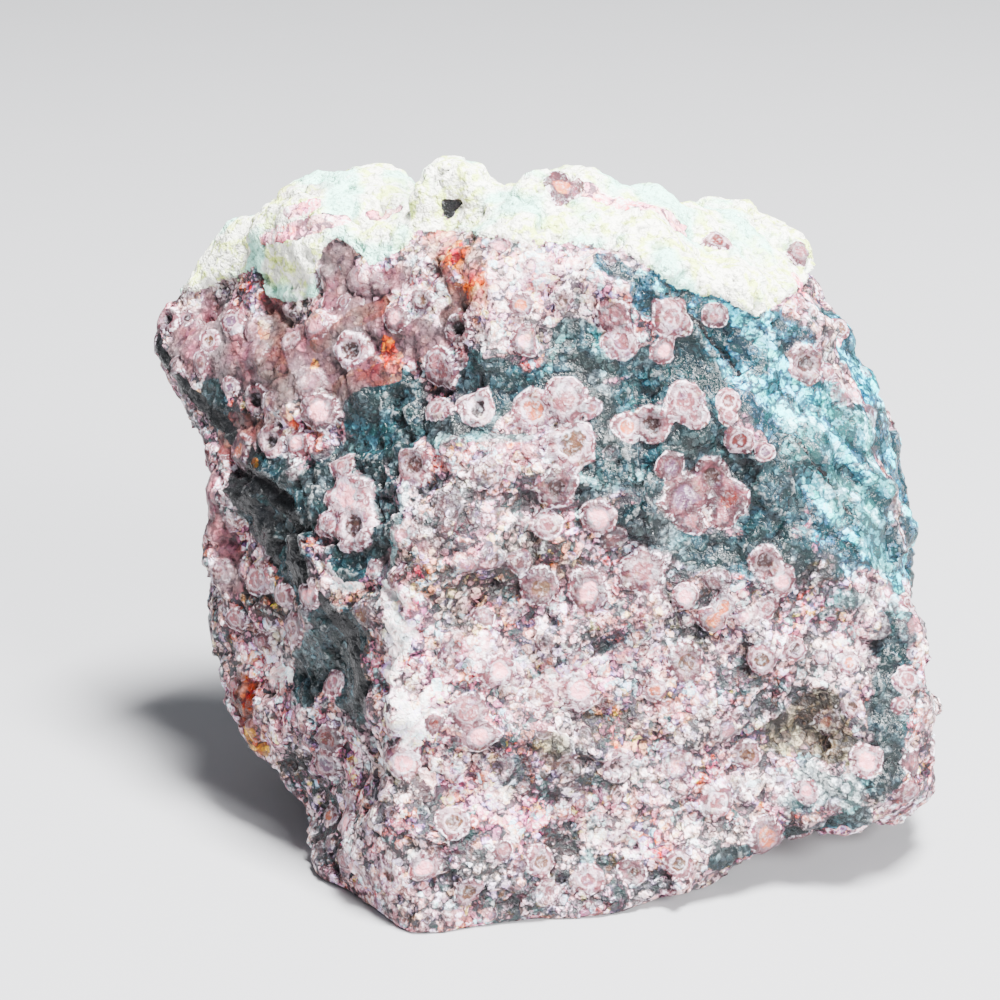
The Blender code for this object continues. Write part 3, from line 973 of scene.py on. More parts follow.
class Graph:
    """A node tree with short ways to add the nodes that the stone needs."""

    def __init__(self, tree: bpy.types.NodeTree) -> None:
        """Takes an empty node tree."""
        self.tree = tree

    def node(self, kind: str, **settings: object) -> bpy.types.Node:
        """Adds one node.

        Args:
            kind: The type of the node.
            settings: Values for its properties.

        Returns:
            The node.
        """
        made = self.tree.nodes.new(kind)
        for name, value in settings.items():
            setattr(made, name, value)
        return made

    def plug(self, target: bpy.types.NodeSocket, value: object) -> None:
        """Links a socket to another, or sets its value.

        Args:
            target: The input socket.
            value: An output socket or a plain value.
        """
        if isinstance(value, bpy.types.NodeSocket):
            self.tree.links.new(value, target)
        else:
            target.default_value = value

    def math(self, operation: str, *values: object) -> bpy.types.NodeSocket:
        """Adds a Math node.

        Args:
            operation: What it does.
            values: Its values or sockets.

        Returns:
            The socket that holds the result.
        """
        made = self.node("ShaderNodeMath", operation=operation)
        for socket, value in zip(made.inputs, values):
            self.plug(socket, value)
        return made.outputs[0]

    def times(self, first: object, second: object) -> bpy.types.NodeSocket:
        """Multiplies two numbers."""
        return self.math("MULTIPLY", first, second)

    def plus(self, first: object, second: object) -> bpy.types.NodeSocket:
        """Adds two numbers."""
        return self.math("ADD", first, second)

    def fit(self, value: object, factor: object, offset: object) -> bpy.types.NodeSocket:
        """Multiplies a number by a factor and adds an offset."""
        return self.math("MULTIPLY_ADD", value, factor, offset)

    def centred(self, value: object) -> bpy.types.NodeSocket:
        """Carries a number of 0 to 1 to -0.5 to 0.5."""
        return self.math("SUBTRACT", value, 0.5)

    def vector(self, operation: str, *values: object) -> bpy.types.Node:
        """Adds a Vector Math node.

        Args:
            operation: What it does.
            values: Its vectors or sockets.

        Returns:
            The node.
        """
        made = self.node("ShaderNodeVectorMath", operation=operation)
        for socket, value in zip(made.inputs, values):
            self.plug(socket, value)
        return made

    def parts(self, colour: object) -> bpy.types.bpy_prop_collection:
        """Splits a colour.

        Args:
            colour: The colour or socket.

        Returns:
            The sockets that hold its red, green and blue.
        """
        made = self.node("ShaderNodeSeparateColor")
        self.plug(made.inputs[0], colour)
        return made.outputs

    def step(self, value: object, low: float, high: float) -> bpy.types.NodeSocket:
        """Adds a smooth rise from 0 to 1.

        Args:
            value: The value or socket that is looked up.
            low: Where the rise starts.
            high: Where it ends. It may be below low.

        Returns:
            The socket that holds the result.
        """
        made = self.node("ShaderNodeMapRange", interpolation_type="SMOOTHSTEP")
        self.plug(made.inputs["Value"], value)
        self.plug(made.inputs["From Min"], low)
        self.plug(made.inputs["From Max"], high)
        return made.outputs["Result"]

    def blend(self, share: object, first: object, second: object, how: str = "MIX") -> bpy.types.NodeSocket:
        """Mixes two colours.

        Args:
            share: How much of the second colour is used.
            first: The first colour or socket.
            second: The second colour or socket.
            how: The blend mode.

        Returns:
            The socket that holds the mixed colour.
        """
        made = self.node("ShaderNodeMix", data_type="RGBA", blend_type=how)
        self.plug(made.inputs[0], share)
        self.plug(made.inputs[6], first)
        self.plug(made.inputs[7], second)
        return made.outputs[2]

    def between(self, share: object, first: object, second: object) -> bpy.types.NodeSocket:
        """Mixes two numbers.

        Args:
            share: How much of the second number is used.
            first: The first number or socket.
            second: The second number or socket.

        Returns:
            The socket that holds the mixed number.
        """
        made = self.node("ShaderNodeMix", data_type="FLOAT")
        self.plug(made.inputs[0], share)
        self.plug(made.inputs[2], first)
        self.plug(made.inputs[3], second)
        return made.outputs[0]

    def clouds(self, place: object, size: float, roughness: float) -> bpy.types.Node:
        """Adds a Noise Texture.

        Args:
            place: The place in millimetres.
            size: The breadth of its forms, in millimetres.
            roughness: How strong its finer layers are.

        Returns:
            The node.
        """
        made = self.node("ShaderNodeTexNoise")
        self.plug(made.inputs["Vector"], place)
        made.inputs["Scale"].default_value = 1.0 / size
        made.inputs["Detail"].default_value = 2.0
        made.inputs["Roughness"].default_value = roughness
        return made

    def grains(self, place: object, size: float) -> bpy.types.Node:
        """Adds a Voronoi Texture.

        Args:
            place: The place in millimetres.
            size: The breadth of its cells, in millimetres.

        Returns:
            The node.
        """
        made = self.node("ShaderNodeTexVoronoi", feature="F1")
        self.plug(made.inputs["Vector"], place)
        made.inputs["Scale"].default_value = 1.0 / size
        return made

    def ramp(self, value: object, stops: tuple[tuple[float, Colour], ...]) -> bpy.types.NodeSocket:
        """Picks one of several colours by a value.

        Args:
            value: The value or socket.
            stops: The value at which each colour starts, and the colour.

        Returns:
            The socket that holds the colour.
        """
        made = self.node("ShaderNodeValToRGB")
        made.color_ramp.interpolation = "CONSTANT"
        elements = made.color_ramp.elements
        while len(elements) < len(stops):
            elements.new(0.5)
        for element, (place, colour) in zip(elements, stops):
            element.position = place
            element.color = colour
        self.plug(made.inputs[0], value)
        return made.outputs[0]


def new_group(name: str, takes: dict[str, str], gives: dict[str, str]) -> tuple[Graph, object, object]:
    """Makes an empty shader node group.

    Args:
        name: The group's name.
        takes: The name and kind of each input.
        gives: The name and kind of each output.

    Returns:
        The graph, its input sockets and its output sockets.
    """
    kinds = {"value": "NodeSocketFloat", "colour": "NodeSocketColor", "vector": "NodeSocketVector"}
    tree = bpy.data.node_groups.new(name, "ShaderNodeTree")
    for label, kind in takes.items():
        tree.interface.new_socket(label, in_out="INPUT", socket_type=kinds[kind])
    for label, kind in gives.items():
        tree.interface.new_socket(label, in_out="OUTPUT", socket_type=kinds[kind])
    graph = Graph(tree)
    return graph, graph.node("NodeGroupInput").outputs, graph.node("NodeGroupOutput").inputs


def place_group(graph: Graph, tree: bpy.types.NodeTree, values: dict[str, object]) -> dict[str, object]:
    """Puts a node group into a graph.

    Args:
        graph: The graph that takes the group.
        tree: The group.
        values: A value or socket for each input.

    Returns:
        The group's output sockets by name.
    """
    made = graph.node("ShaderNodeGroup", node_tree=tree)
    for label, value in values.items():
        graph.plug(made.inputs[label], value)
    return {socket.name: socket for socket in made.outputs}


@dataclass(frozen=True)
class Patterns:
    """The fine patterns that every kind of ground shares.

    Attributes:
        fleck: The breadth of the finest flecks, in millimetres.
        clump: The breadth of the clumps that flecks gather in, in millimetres.
        grain: The breadth of one grain of the mosaic, in millimetres.
        push: How far the grains' edges are pushed about, in millimetres.
        fleck_edge: How rough the flecks' edges are, 0 to 1.
        clump_edge: How rough the clumps' edges are.
    """

    fleck: float = 0.48
    clump: float = 1.4
    grain: float = 0.85
    push: float = 1.3
    fleck_edge: float = 0.6
    clump_edge: float = 0.68

    def group(self) -> bpy.types.NodeTree:
        """Builds the shared patterns as a node group.

        Returns:
            The group. Grain and Hue are one number each for every grain of the mosaic, Seam is 1 between
            grains, Rim is 1 on the pale rim of a grain, Facet is the height in millimetres of grains that are
            each tilted their own way, Fleck and Clump are soft noise of two sizes, and Tint is noise that
            follows none of them.
        """
        labels = ("Grain", "Hue", "Seam", "Rim", "Facet", "Fleck", "Clump", "Tint")
        gives = {label: "value" for label in labels}
        graph, given, out = new_group("shared_patterns", {"Place": "vector"}, gives)
        fleck = graph.clouds(given["Place"], self.fleck, self.fleck_edge)
        clump = graph.clouds(given["Place"], self.clump, self.clump_edge)
        push = graph.vector("SUBTRACT", clump.outputs["Color"], MID_GREY).outputs[0]
        place = graph.vector("MULTIPLY_ADD", push, (self.push,) * 3, given["Place"]).outputs[0]
        body = graph.grains(place, self.grain)
        offset = graph.vector("SUBTRACT", place, body.outputs["Position"]).outputs[0]
        lean = graph.vector("SUBTRACT", body.outputs["Color"], MID_GREY).outputs[0]
        numbers = graph.parts(body.outputs["Color"])
        away = body.outputs["Distance"]
        graph.plug(out["Grain"], numbers[0])
        graph.plug(out["Hue"], numbers[1])
        graph.plug(out["Seam"], graph.step(away, 0.4, 0.62))
        graph.plug(out["Rim"], graph.times(graph.step(away, 0.16, 0.3), graph.step(away, 0.52, 0.38)))
        graph.plug(out["Facet"], graph.vector("DOT_PRODUCT", offset, lean).outputs["Value"])
        graph.plug(out["Fleck"], fleck.outputs["Fac"])
        graph.plug(out["Clump"], clump.outputs["Fac"])
        graph.plug(out["Tint"], graph.parts(fleck.outputs["Color"])[1])
        return graph.tree


@dataclass(frozen=True)
class GroundFinish:
    """How one kind of ground is painted.

    Attributes:
        dark: The colour of the seams and gaps between its grains, as the picture shows it.
        middle: The colour of most grains.
        light: The colour of the palest grains.
        shift: How far the tones lean to the pale side. Below 0 they lean to the dark side.
        spread: How strongly one grain differs from the next.
        roughness: How matt it is.
        ragged: How uneven its edge is.
        cover: How much of the ground below it hides, 0 to 1.
    """

    dark: Shown
    middle: Shown
    light: Shown
    shift: float
    spread: float
    roughness: float
    ragged: float = 0.5
    cover: float = 1.0


# The ground where no other kind lies, and what lies over it, from the lowest to the topmost.
PINK = GroundFinish((94, 90, 98), (196, 160, 167), (250, 228, 236), 0.06, 0.82, 0.46)
FINISHES: dict[Ground, GroundFinish] = {
    Ground.SMOKE: GroundFinish((70, 78, 84), (142, 134, 142), (226, 216, 224), 0.0, 0.88, 0.45),
    Ground.UMBER: GroundFinish((80, 74, 72), (164, 128, 122), (226, 198, 192), 0.0, 0.85, 0.48),
    Ground.PALE: GroundFinish((136, 114, 124), (222, 194, 202), (255, 244, 250), 0.1, 0.88, 0.42),
    Ground.MAUVE: GroundFinish((100, 72, 78), (160, 126, 133), (220, 192, 199), 0.0, 0.34, 0.34, 0.3),
    Ground.BLUE: GroundFinish((36, 68, 80), (86, 136, 152), (162, 229, 235), -0.04, 0.58, 0.28),
    Ground.GREEN: GroundFinish((32, 53, 59), (70, 100, 107), (136, 178, 181), -0.06, 0.58, 0.28),
    Ground.BRICK: GroundFinish((100, 62, 64), (150, 102, 100), (202, 152, 150), 0.0, 0.36, 0.3, 0.2),
    Ground.ORANGE: GroundFinish((134, 84, 74), (210, 148, 126), (242, 208, 192), 0.0, 0.5, 0.4),
    Ground.RUST: GroundFinish((70, 22, 20), (132, 42, 36), (182, 86, 72), 0.0, 0.4, 0.3, 0.3),
    Ground.AMBER: GroundFinish((110, 76, 30), (196, 146, 66), (238, 206, 130), 0.0, 0.5, 0.35, 0.3),
    Ground.OLIVE: GroundFinish((66, 58, 50), (132, 118, 98), (200, 188, 168), 0.0, 0.7, 0.5),
    Ground.VEIL: GroundFinish((86, 127, 131), (146, 198, 199), (218, 251, 248), -0.02, 0.6, 0.3, 1.5, 0.6),
    # Painted shade: near-black ground for the shaded breaks, the pit and the cracks.
    Ground.DARK: GroundFinish((16, 18, 22), (42, 44, 48), (96, 98, 102), -0.02, 0.34, 0.24, 0.3),
    Ground.CHALK: GroundFinish((208, 166, 170), (248, 232, 234), (255, 254, 254), 0.24, 0.75, 0.5, 1.3, 0.94),
    Ground.BARE: GroundFinish((170, 134, 142), (232, 200, 206), (252, 238, 242), 0.08, 0.6, 0.5),
}

# The colours that single grains lean to, by the grain's own number.
STRAY_COLOURS: tuple[tuple[float, Colour], ...] = (
    (0.0, shade(196, 158, 168)), (0.2, shade(172, 158, 186)), (0.34, shade(206, 166, 170)),
    (0.5, shade(212, 160, 144)), (0.6, shade(196, 160, 168)), (0.72, shade(134, 160, 164)),
    (0.86, shade(204, 188, 146)), (0.93, shade(166, 112, 106)),
)

# The colour of each kind of orb middle. The darkest, for hollow middles, is painted shade in the sunk pit.
CORE_COLOURS: tuple[tuple[float, Colour], ...] = (
    (0.0, shade(178, 128, 136)), (0.1, shade(226, 194, 200)), (0.2, shade(148, 110, 84)),
    (0.3, shade(112, 74, 70)), (0.4, shade(208, 146, 104)), (0.5, shade(150, 66, 62)),
    (0.6, shade(146, 112, 140)), (0.7, shade(72, 50, 52)),
)


@dataclass(frozen=True)
class OrbFinish:
    """How the orbs are painted, from the middle out.

    Attributes:
        body: The colour of the pink body.
        flush: The deeper pink that clouds it.
        lace: The colour of the pale lacy rim.
        lacy: How strongly the rim shows, 0 to 1.
        mottled: How strongly stray colours mottle the orbs.
        roughness: How matt the orbs are.
    """

    body: Colour = shade(178, 118, 130)
    flush: Colour = shade(112, 66, 78)
    lace: Colour = shade(250, 228, 234)
    lacy: float = 0.75
    mottled: float = 0.3
    roughness: float = 0.4

    def group(self) -> bpy.types.NodeTree:
        """Builds the pattern of one orb as a node group.

        Returns:
            The group. It gives a colour and a mask.
        """
        labels = ("Out", "Core", "Tone", "Fleck", "Clump", "Grain", "Rim")
        takes = {label: "value" for label in labels}
        graph, given, out = new_group("orb_rings", takes, {"Colour": "colour", "Mask": "value"})
        tone, fleck, clump, grain = (given[label] for label in ("Tone", "Fleck", "Clump", "Grain"))
        away = graph.plus(given["Out"], graph.fit(fleck, 0.26, -0.13))
        away = graph.plus(away, graph.fit(clump, 0.2, -0.1))
        middle = graph.ramp(given["Core"], CORE_COLOURS)
        middle = graph.blend(graph.times(graph.step(fleck, 0.5, 0.75), 0.35), middle, self.lace)
        flushed = graph.plus(graph.step(clump, 0.28, 0.56), graph.times(tone, -0.55))
        rosy = graph.blend(graph.math("MAXIMUM", flushed, 0.0), self.body, self.flush)
        rosy = graph.blend(graph.times(graph.step(grain, 0.4, 0.1), 0.6), rosy, self.flush)
        pale = graph.times(graph.step(grain, 0.5, 1.0), graph.times(tone, 0.35))
        colour = graph.blend(graph.step(away, 0.38, 0.52), middle, graph.blend(pale, rosy, self.lace))
        ring = graph.times(graph.step(away, 0.42, 0.5), graph.step(away, 0.66, 0.52))
        colour = graph.blend(graph.times(ring, graph.times(tone, 0.45)), colour, self.lace)
        net = graph.times(given["Rim"], graph.step(fleck, 0.35, 0.6))
        colour = graph.blend(graph.times(net, graph.fit(tone, 0.24, 0.06)), colour, self.lace)
        lace = graph.times(graph.step(away, 0.84, 0.95), graph.step(fleck, 0.44, 0.6))
        graph.plug(out["Colour"], graph.blend(graph.times(lace, self.lacy), colour, self.lace))
        graph.plug(out["Mask"], graph.step(away, *ORB_EDGE))
        return graph.tree


@dataclass(frozen=True)
class CrustFinish:
    """How the granular crust is painted.

    Attributes:
        cream: Its main colour.
        mint: The colour of its greenish stretches.
        straw: The colour of its yellowish stretches.
        pit: The painted shade of its small pits.
        sandy: How strongly the yellowish stretches show, 0 to 1.
        pit_shading: How strongly the painted shade of the pits shows.
        roughness: How matt it is.
    """

    cream: Colour = shade(241, 249, 228)
    mint: Colour = shade(212, 250, 226)
    straw: Colour = shade(224, 229, 164)
    # The painted shade of the crust's small pits.
    pit: Colour = shade(150, 158, 134)
    sandy: float = 0.85
    pit_shading: float = 0.55
    roughness: float = 0.75

    def group(self) -> bpy.types.NodeTree:
        """Builds the crust's pattern as a node group.

        Returns:
            The group. It gives a colour.
        """
        takes = {label: "value" for label in ("Stain", "Fleck", "Clump", "Tint")}
        graph, given, out = new_group("granular_crust", takes, {"Colour": "colour"})
        stain, clump = given["Stain"], given["Clump"]
        minty = graph.step(graph.plus(stain, graph.times(clump, 0.4)), 0.68, 0.9)
        colour = graph.blend(minty, self.cream, self.mint)
        sandy = graph.times(graph.step(clump, 0.46, 0.62), graph.step(stain, 0.75, 0.45))
        colour = graph.blend(graph.times(sandy, self.sandy), colour, self.straw)
        # Painted shade in the crust's small pits, scattered by noise.
        shaded_pits = graph.times(graph.step(given["Tint"], 0.42, 0.6), graph.step(given["Fleck"], 0.46, 0.62))
        graph.plug(out["Colour"], graph.blend(graph.times(shaded_pits, self.pit_shading), colour, self.pit))
        return graph.tree


@dataclass(frozen=True)
class StoneFinish:
    """The whole finish of the stone, read from the masks on its surface.

    Attributes:
        name: The material's name.
        bump_height: The depth of the finest grain, in metres.
        ior: The index of refraction of chalcedony.
        gleam: How much of its mirror light the rough surface keeps.
        hues: How far the hue may differ from one grain to another, as a share of the whole circle.
        flecks: How far the flecks lighten and darken the grains.
        clumps: How far the clumps do.
        drift: How far the slow drift of tone over the stone does.
        seams: How much darker the seams between grains are.
        rims: How much paler the rims of grains are.
        stray: How strongly single grains lean to stray colours, 0 to 1.
        crevice_shade: The painted shade that darkens the crevices.
        crevice_shading: How strongly that painted shade shows, 0 to 1.
        chipped_highlight: The pale colour painted on broken high edges, both pale chipped stone and a painted
            highlight.
        worn: How strongly that painted highlight on the high edges shows, 0 to 1.
        facet_bump: The height of the tilted grains, as a share of the finest grain's.
        seam_bump: The depth of the seams, as such a share.
        glints: How far the roughness differs from fleck to fleck.
    """

    name: str = "orbicular_stone"
    bump_height: float = 0.00035
    ior: float = 1.54
    gleam: float = 0.2
    hues: float = 0.11
    flecks: float = 1.5
    clumps: float = 0.9
    drift: float = 0.6
    seams: float = -0.24
    rims: float = 0.2
    stray: float = 0.85
    # Painted shade for the crevices, and how strongly it shows.
    crevice_shade: Colour = shade(58, 50, 56)
    crevice_shading: float = 0.5
    # Painted highlight on the high broken edges, with how strongly it shows.
    chipped_highlight: Colour = shade(250, 238, 242)
    worn: float = 0.3
    facet_bump: float = 1.7
    seam_bump: float = -0.25
    glints: float = 0.5

    def mask(self, graph: Graph, label: str) -> bpy.types.NodeSocket:
        """Reads one mask from the surface."""
        return graph.node("ShaderNodeAttribute", attribute_name=label).outputs["Fac"]

    def mosaic(self, graph: Graph, pattern: dict[str, object]) -> bpy.types.NodeSocket:
        """Paints the ground between the orbs.

        Args:
            graph: The material's graph.
            pattern: The shared patterns.

        Returns:
            The socket that holds the ground's colour.
        """
        dark, middle, light = shade(*PINK.dark), shade(*PINK.middle), shade(*PINK.light)
        shift, spread = self.mask(graph, "shift"), self.mask(graph, "spread")
        loose = graph.plus(graph.times(pattern["Tint"], 0.5), graph.fit(pattern["Grain"], 0.5, -0.5))
        for ground, finish in FINISHES.items():
            edge = graph.fit(loose, finish.ragged, self.mask(graph, ground.value))
            share = graph.step(edge, 0.44, 0.56)
            if finish.cover < 1.0:
                share = graph.times(share, finish.cover)
            dark = graph.blend(share, dark, shade(*finish.dark))
            middle = graph.blend(share, middle, shade(*finish.middle))
            light = graph.blend(share, light, shade(*finish.light))
        tone = graph.fit(pattern["Grain"], 0.5, -0.3)
        tone = graph.fit(graph.centred(pattern["Fleck"]), self.flecks, tone)
        tone = graph.fit(graph.centred(pattern["Clump"]), self.clumps, tone)
        tone = graph.fit(pattern["Seam"], self.seams, tone)
        tone = graph.fit(graph.times(pattern["Rim"], pattern["Tint"]), self.rims, tone)
        tone = graph.fit(graph.centred(self.mask(graph, "tone")), self.drift, tone)
        tone = graph.plus(graph.fit(tone, spread, 0.5), shift)
        colour = graph.blend(graph.step(tone, 0.26, 0.44), dark, middle)
        colour = graph.blend(graph.step(tone, 0.5, 0.78), colour, light)
        strays = graph.times(graph.step(spread, 0.62, 0.85), graph.step(pattern["Tint"], 0.4, 0.6))
        stray = graph.ramp(pattern["Hue"], STRAY_COLOURS)
        colour = graph.blend(graph.times(strays, self.stray), colour, stray, "COLOR")
        turn = graph.times(graph.centred(pattern["Grain"]), spread)
        strength = graph.fit(self.mask(graph, "warmth"), 0.8, 0.3)
        shifted = graph.node("ShaderNodeHueSaturation")
        graph.plug(shifted.inputs["Hue"], graph.fit(turn, self.hues, 0.5))
        graph.plug(shifted.inputs["Saturation"], graph.fit(pattern["Tint"], 0.45, strength))
        graph.plug(shifted.inputs["Color"], colour)
        return shifted.outputs[0]

    def build(self) -> bpy.types.Material:
        """Makes the material.

        Returns:
            The finished material.
        """
        material = bpy.data.materials.new(self.name)
        material.use_nodes = True
        graph = Graph(material.node_tree)
        shader = material.node_tree.nodes["Principled BSDF"]
        spot = graph.node("ShaderNodeTexCoord").outputs["Object"]
        place = graph.vector("MULTIPLY", spot, (1.0 / MM,) * 3).outputs[0]
        pattern = place_group(graph, Patterns().group(), {"Place": place})
        colour = self.mosaic(graph, pattern)
        roughness = self.mask(graph, "matt")
        grainy = self.mask(graph, "grainy")

        crust_finish = CrustFinish()
        values = {label: pattern[label] for label in ("Fleck", "Clump", "Tint")}
        values["Stain"] = self.mask(graph, "stain")
        crust = place_group(graph, crust_finish.group(), values)
        loose = graph.fit(pattern["Tint"], 0.5, -0.25)
        crusted = graph.step(graph.plus(self.mask(graph, "crust"), loose), 0.46, 0.54)
        colour = graph.blend(crusted, colour, crust["Colour"])
        roughness = graph.between(crusted, roughness, crust_finish.roughness)

        orb_finish = OrbFinish()
        values = {label: pattern[label] for label in ("Grain", "Fleck", "Clump", "Rim")}
        for label in ("Out", "Core", "Tone"):
            values[label] = self.mask(graph, "orb_" + label.lower())
        orb = place_group(graph, orb_finish.group(), values)
        share = graph.times(orb["Mask"], self.mask(graph, "orb_show"))
        stray = graph.ramp(pattern["Hue"], STRAY_COLOURS)
        mottled = graph.times(graph.step(pattern["Tint"], 0.42, 0.58), orb_finish.mottled)
        colour = graph.blend(share, colour, graph.blend(mottled, orb["Colour"], stray, "COLOR"))
        roughness = graph.between(share, roughness, orb_finish.roughness)

        hollow = self.mask(graph, "hollow")
        # Painted shade darkens the crevices, where the surface lies below its neighbours.
        colour = graph.blend(graph.times(graph.step(hollow, 0.15, 0.95), self.crevice_shading), colour, self.crevice_shade)
        # Painted highlight lightens the high broken edges, where the stone also shows pale chips.
        high = graph.times(graph.step(hollow, -0.45, -1.0), graph.step(pattern["Fleck"], 0.42, 0.6))
        high = graph.times(high, graph.step(grainy, 0.2, 1.0))
        colour = graph.blend(graph.times(high, self.worn), colour, self.chipped_highlight)

        raised = graph.fit(pattern["Seam"], self.seam_bump, pattern["Fleck"])
        raised = graph.fit(pattern["Facet"], self.facet_bump, raised)
        bump = graph.node("ShaderNodeBump")
        bump.inputs["Strength"].default_value = 1.0
        bump.inputs["Distance"].default_value = self.bump_height
        graph.plug(bump.inputs["Height"], graph.times(raised, grainy))
        graph.plug(shader.inputs["Base Color"], colour)
        roughness = graph.fit(graph.centred(pattern["Tint"]), self.glints, roughness)
        graph.plug(shader.inputs["Roughness"], roughness)
        graph.plug(shader.inputs["Normal"], bump.outputs["Normal"])
        shader.inputs["IOR"].default_value = self.ior
        shader.inputs["Specular IOR Level"].default_value = self.gleam
        return material


@dataclass
class Stone:
    """The stone itself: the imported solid's form with the fine surface raised on it.

    Attributes:
        view: The photograph's camera.
        name: The piece's name.
        voxel: The breadth of one face of the fine mesh, in millimetres.
        weld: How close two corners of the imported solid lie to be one, in metres.
        smoothings: How often the fine mesh is smoothed before the relief is raised.
        margin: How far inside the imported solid's box the surface stays, in millimetres.
        crowding: The chance that plain ground takes a scattered orb where the photograph shows it.
        far_crowding: How much higher that chance is on the other sides.
        tone_seed: The seed of the orbs' tones.
        hollow_rings: How many rings of neighbours say whether a vertex lies in a hollow.
        hollow_depth: The depth of a full hollow, in millimetres.
    """

    view: Viewpoint
    name: str = "rough_stone"
    voxel: float = 0.482
    weld: float = 1e-6
    smoothings: int = 5
    margin: float = 0.02
    crowding: float = 0.5
    far_crowding: float = 0.4
    tone_seed: int = 3
    hollow_rings: int = 6
    hollow_depth: float = 0.22

    def fine_mesh(self) -> bpy.types.Object:
        """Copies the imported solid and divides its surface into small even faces.

        Returns:
            The new object, with nothing raised on it yet.
        """
        whole = bmesh.new()
        whole.from_mesh(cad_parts[NODE].data)
        bmesh.ops.remove_doubles(whole, verts=whole.verts[:], dist=self.weld)
        data = bpy.data.meshes.new(self.name + "_form")
        whole.to_mesh(data)
        whole.free()
        form = bpy.data.objects.new(self.name + "_form", data)
        bpy.context.scene.collection.objects.link(form)
        fine = form.modifiers.new("even_faces", "REMESH")
        fine.mode = "VOXEL"
        fine.voxel_size = self.voxel * MM
        graph = bpy.context.evaluated_depsgraph_get()
        mesh = bmesh.new()
        mesh.from_object(form, graph)
        bpy.data.objects.remove(form)
        for _ in range(self.smoothings):
            bmesh.ops.smooth_vert(mesh, verts=mesh.verts[:], factor=0.5, use_axis_x=True, use_axis_y=True,
                                  use_axis_z=True)
        bmesh.ops.recalc_face_normals(mesh, faces=mesh.faces[:])
        made = bpy.data.meshes.new(self.name)
        mesh.to_mesh(made)
        mesh.free()
        piece = bpy.data.objects.new(self.name, made)
        bpy.context.scene.collection.objects.link(piece)
        return piece

    def read_surface(self, mesh: bpy.types.Mesh) -> Surface:
        """Reads a mesh into arrays.

        Args:
            mesh: The mesh.

        Returns:
            Its vertices and normals in millimetres, ready for rays.
        """
        whole = bmesh.new()
        whole.from_mesh(mesh)
        bmesh.ops.scale(whole, verts=whole.verts[:], vec=(1.0 / MM,) * 3)
        whole.normal_update()
        points = np.array([tuple(vertex.co) for vertex in whole.verts])
        normals = np.array([tuple(vertex.normal) for vertex in whole.verts])
        tree = BVHTree.FromBMesh(whole)
        whole.free()
        return Surface(points, normals, tree, self.view)

    def orb_room(self, surface: Surface, ground: GroundMap) -> np.ndarray:
        """Works out where scattered orbs find room.

        Args:
            surface: The stone's surface.
            ground: Where each kind of ground lies.

        Returns:
            The chance that a place takes a scattered orb, for each vertex.
        """
        room = self.crowding + self.far_crowding * surface.hidden
        for kind, share in ORB_KEEP.items():
            kept = share + (0.25 - 0.25 * share) * surface.hidden
            room *= 1.0 - (1.0 - kept) * ease(0.38, 0.55, ground.masks[kind])
        room *= 1.0 - 0.99 * ease(0.3, 0.6, ground.crust)
        return np.clip(room, 0.0, 1.0)

    def settle(self, ground: GroundMap, trait: str) -> np.ndarray:
        """Blends one trait of the finishes by where each kind of ground lies.

        Args:
            ground: Where each kind of ground lies.
            trait: The name of a number that every ground finish has.

        Returns:
            The trait at each vertex.
        """
        level = np.full(len(ground.crust), getattr(PINK, trait))
        for kind, finish in FINISHES.items():
            share = finish.cover * ease(0.4, 0.6, ground.masks[kind])
            level += share * (getattr(finish, trait) - level)
        return level

    def orb_masks(self, orbs: OrbField, out: np.ndarray, owner: np.ndarray) -> dict[str, np.ndarray]:
        """Works out the masks that paint the orbs.

        Args:
            orbs: The orbs.
            out: How far out each vertex is, in radii of its orb.
            owner: The number of that orb.

        Returns:
            The value at each vertex, by the name of the mask.
        """
        tones = np.random.default_rng(self.tone_seed).random(len(orbs.cores))
        tones[:len(ORBS)] *= np.array([0.0 if orb.deep else 1.0 for orb in ORBS])
        cores = np.array([core.value for core in orbs.cores])
        shows = np.array(orbs.shows)
        return {"orb_out": out, "orb_core": cores[owner], "orb_tone": tones[owner], "orb_show": shows[owner]}

    def ground_masks(self, surface: Surface, ground: GroundMap, shown: np.ndarray) -> dict[str, np.ndarray]:
        """Works out the masks that paint the ground and the crust.

        Args:
            surface: The stone's surface.
            ground: Where each kind of ground lies.
            shown: How clearly an orb stands out at each vertex, 0 to 1.

        Returns:
            The value at each vertex, by the name of the mask.
        """
        points = surface.points
        glassy = ground.masks[Ground.BLUE]
        tone = cloud(points, 4.5, 3, 90.0) * (1.0 - glassy)
        tone += 2.2 * streaks(points, 2.0, 44.0) * glassy
        warmth = 0.5 + 0.95 * (1.0 - 0.7 * glassy) * cloud(points, 3.6, 3, 150.0) + 0.25 * glassy
        crust = ground.crust * (1.0 - ground.bare)
        spread = self.settle(ground, "spread")
        grainy = spread + ease(0.46, 0.54, crust) * (1.0 - spread)
        masks = {kind.value: mask for kind, mask in ground.masks.items()}
        masks["crust"] = crust
        masks["spread"] = spread
        masks["shift"] = self.settle(ground, "shift")
        masks["matt"] = self.settle(ground, "roughness")
        masks["grainy"] = grainy + 0.6 * shown * (0.3 - grainy)
        masks["tone"] = 0.5 + 0.6 * tone
        masks["stain"] = 0.5 + 0.6 * cloud(points, 7.0, 3, 120.0)
        masks["warmth"] = np.clip(warmth, 0.0, 1.0)
        return masks

    def move(self, mesh: bpy.types.Mesh, surface: Surface, height: np.ndarray) -> None:
        """Moves each vertex out along its normal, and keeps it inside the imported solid's box.

        Args:
            mesh: The fine mesh.
            surface: The same mesh as arrays.
            height: How far each vertex moves, in millimetres.
        """
        points = (surface.points + surface.normals * height[:, None]) * MM
        low = np.array(CAD_BOX[0]) + np.array((self.margin, self.margin, 0.0)) * MM
        high = np.array(CAD_BOX[1]) - self.margin * MM
        mesh.vertices.foreach_set("co", np.clip(points, low, high).astype(np.float32).ravel())
        mesh.update()

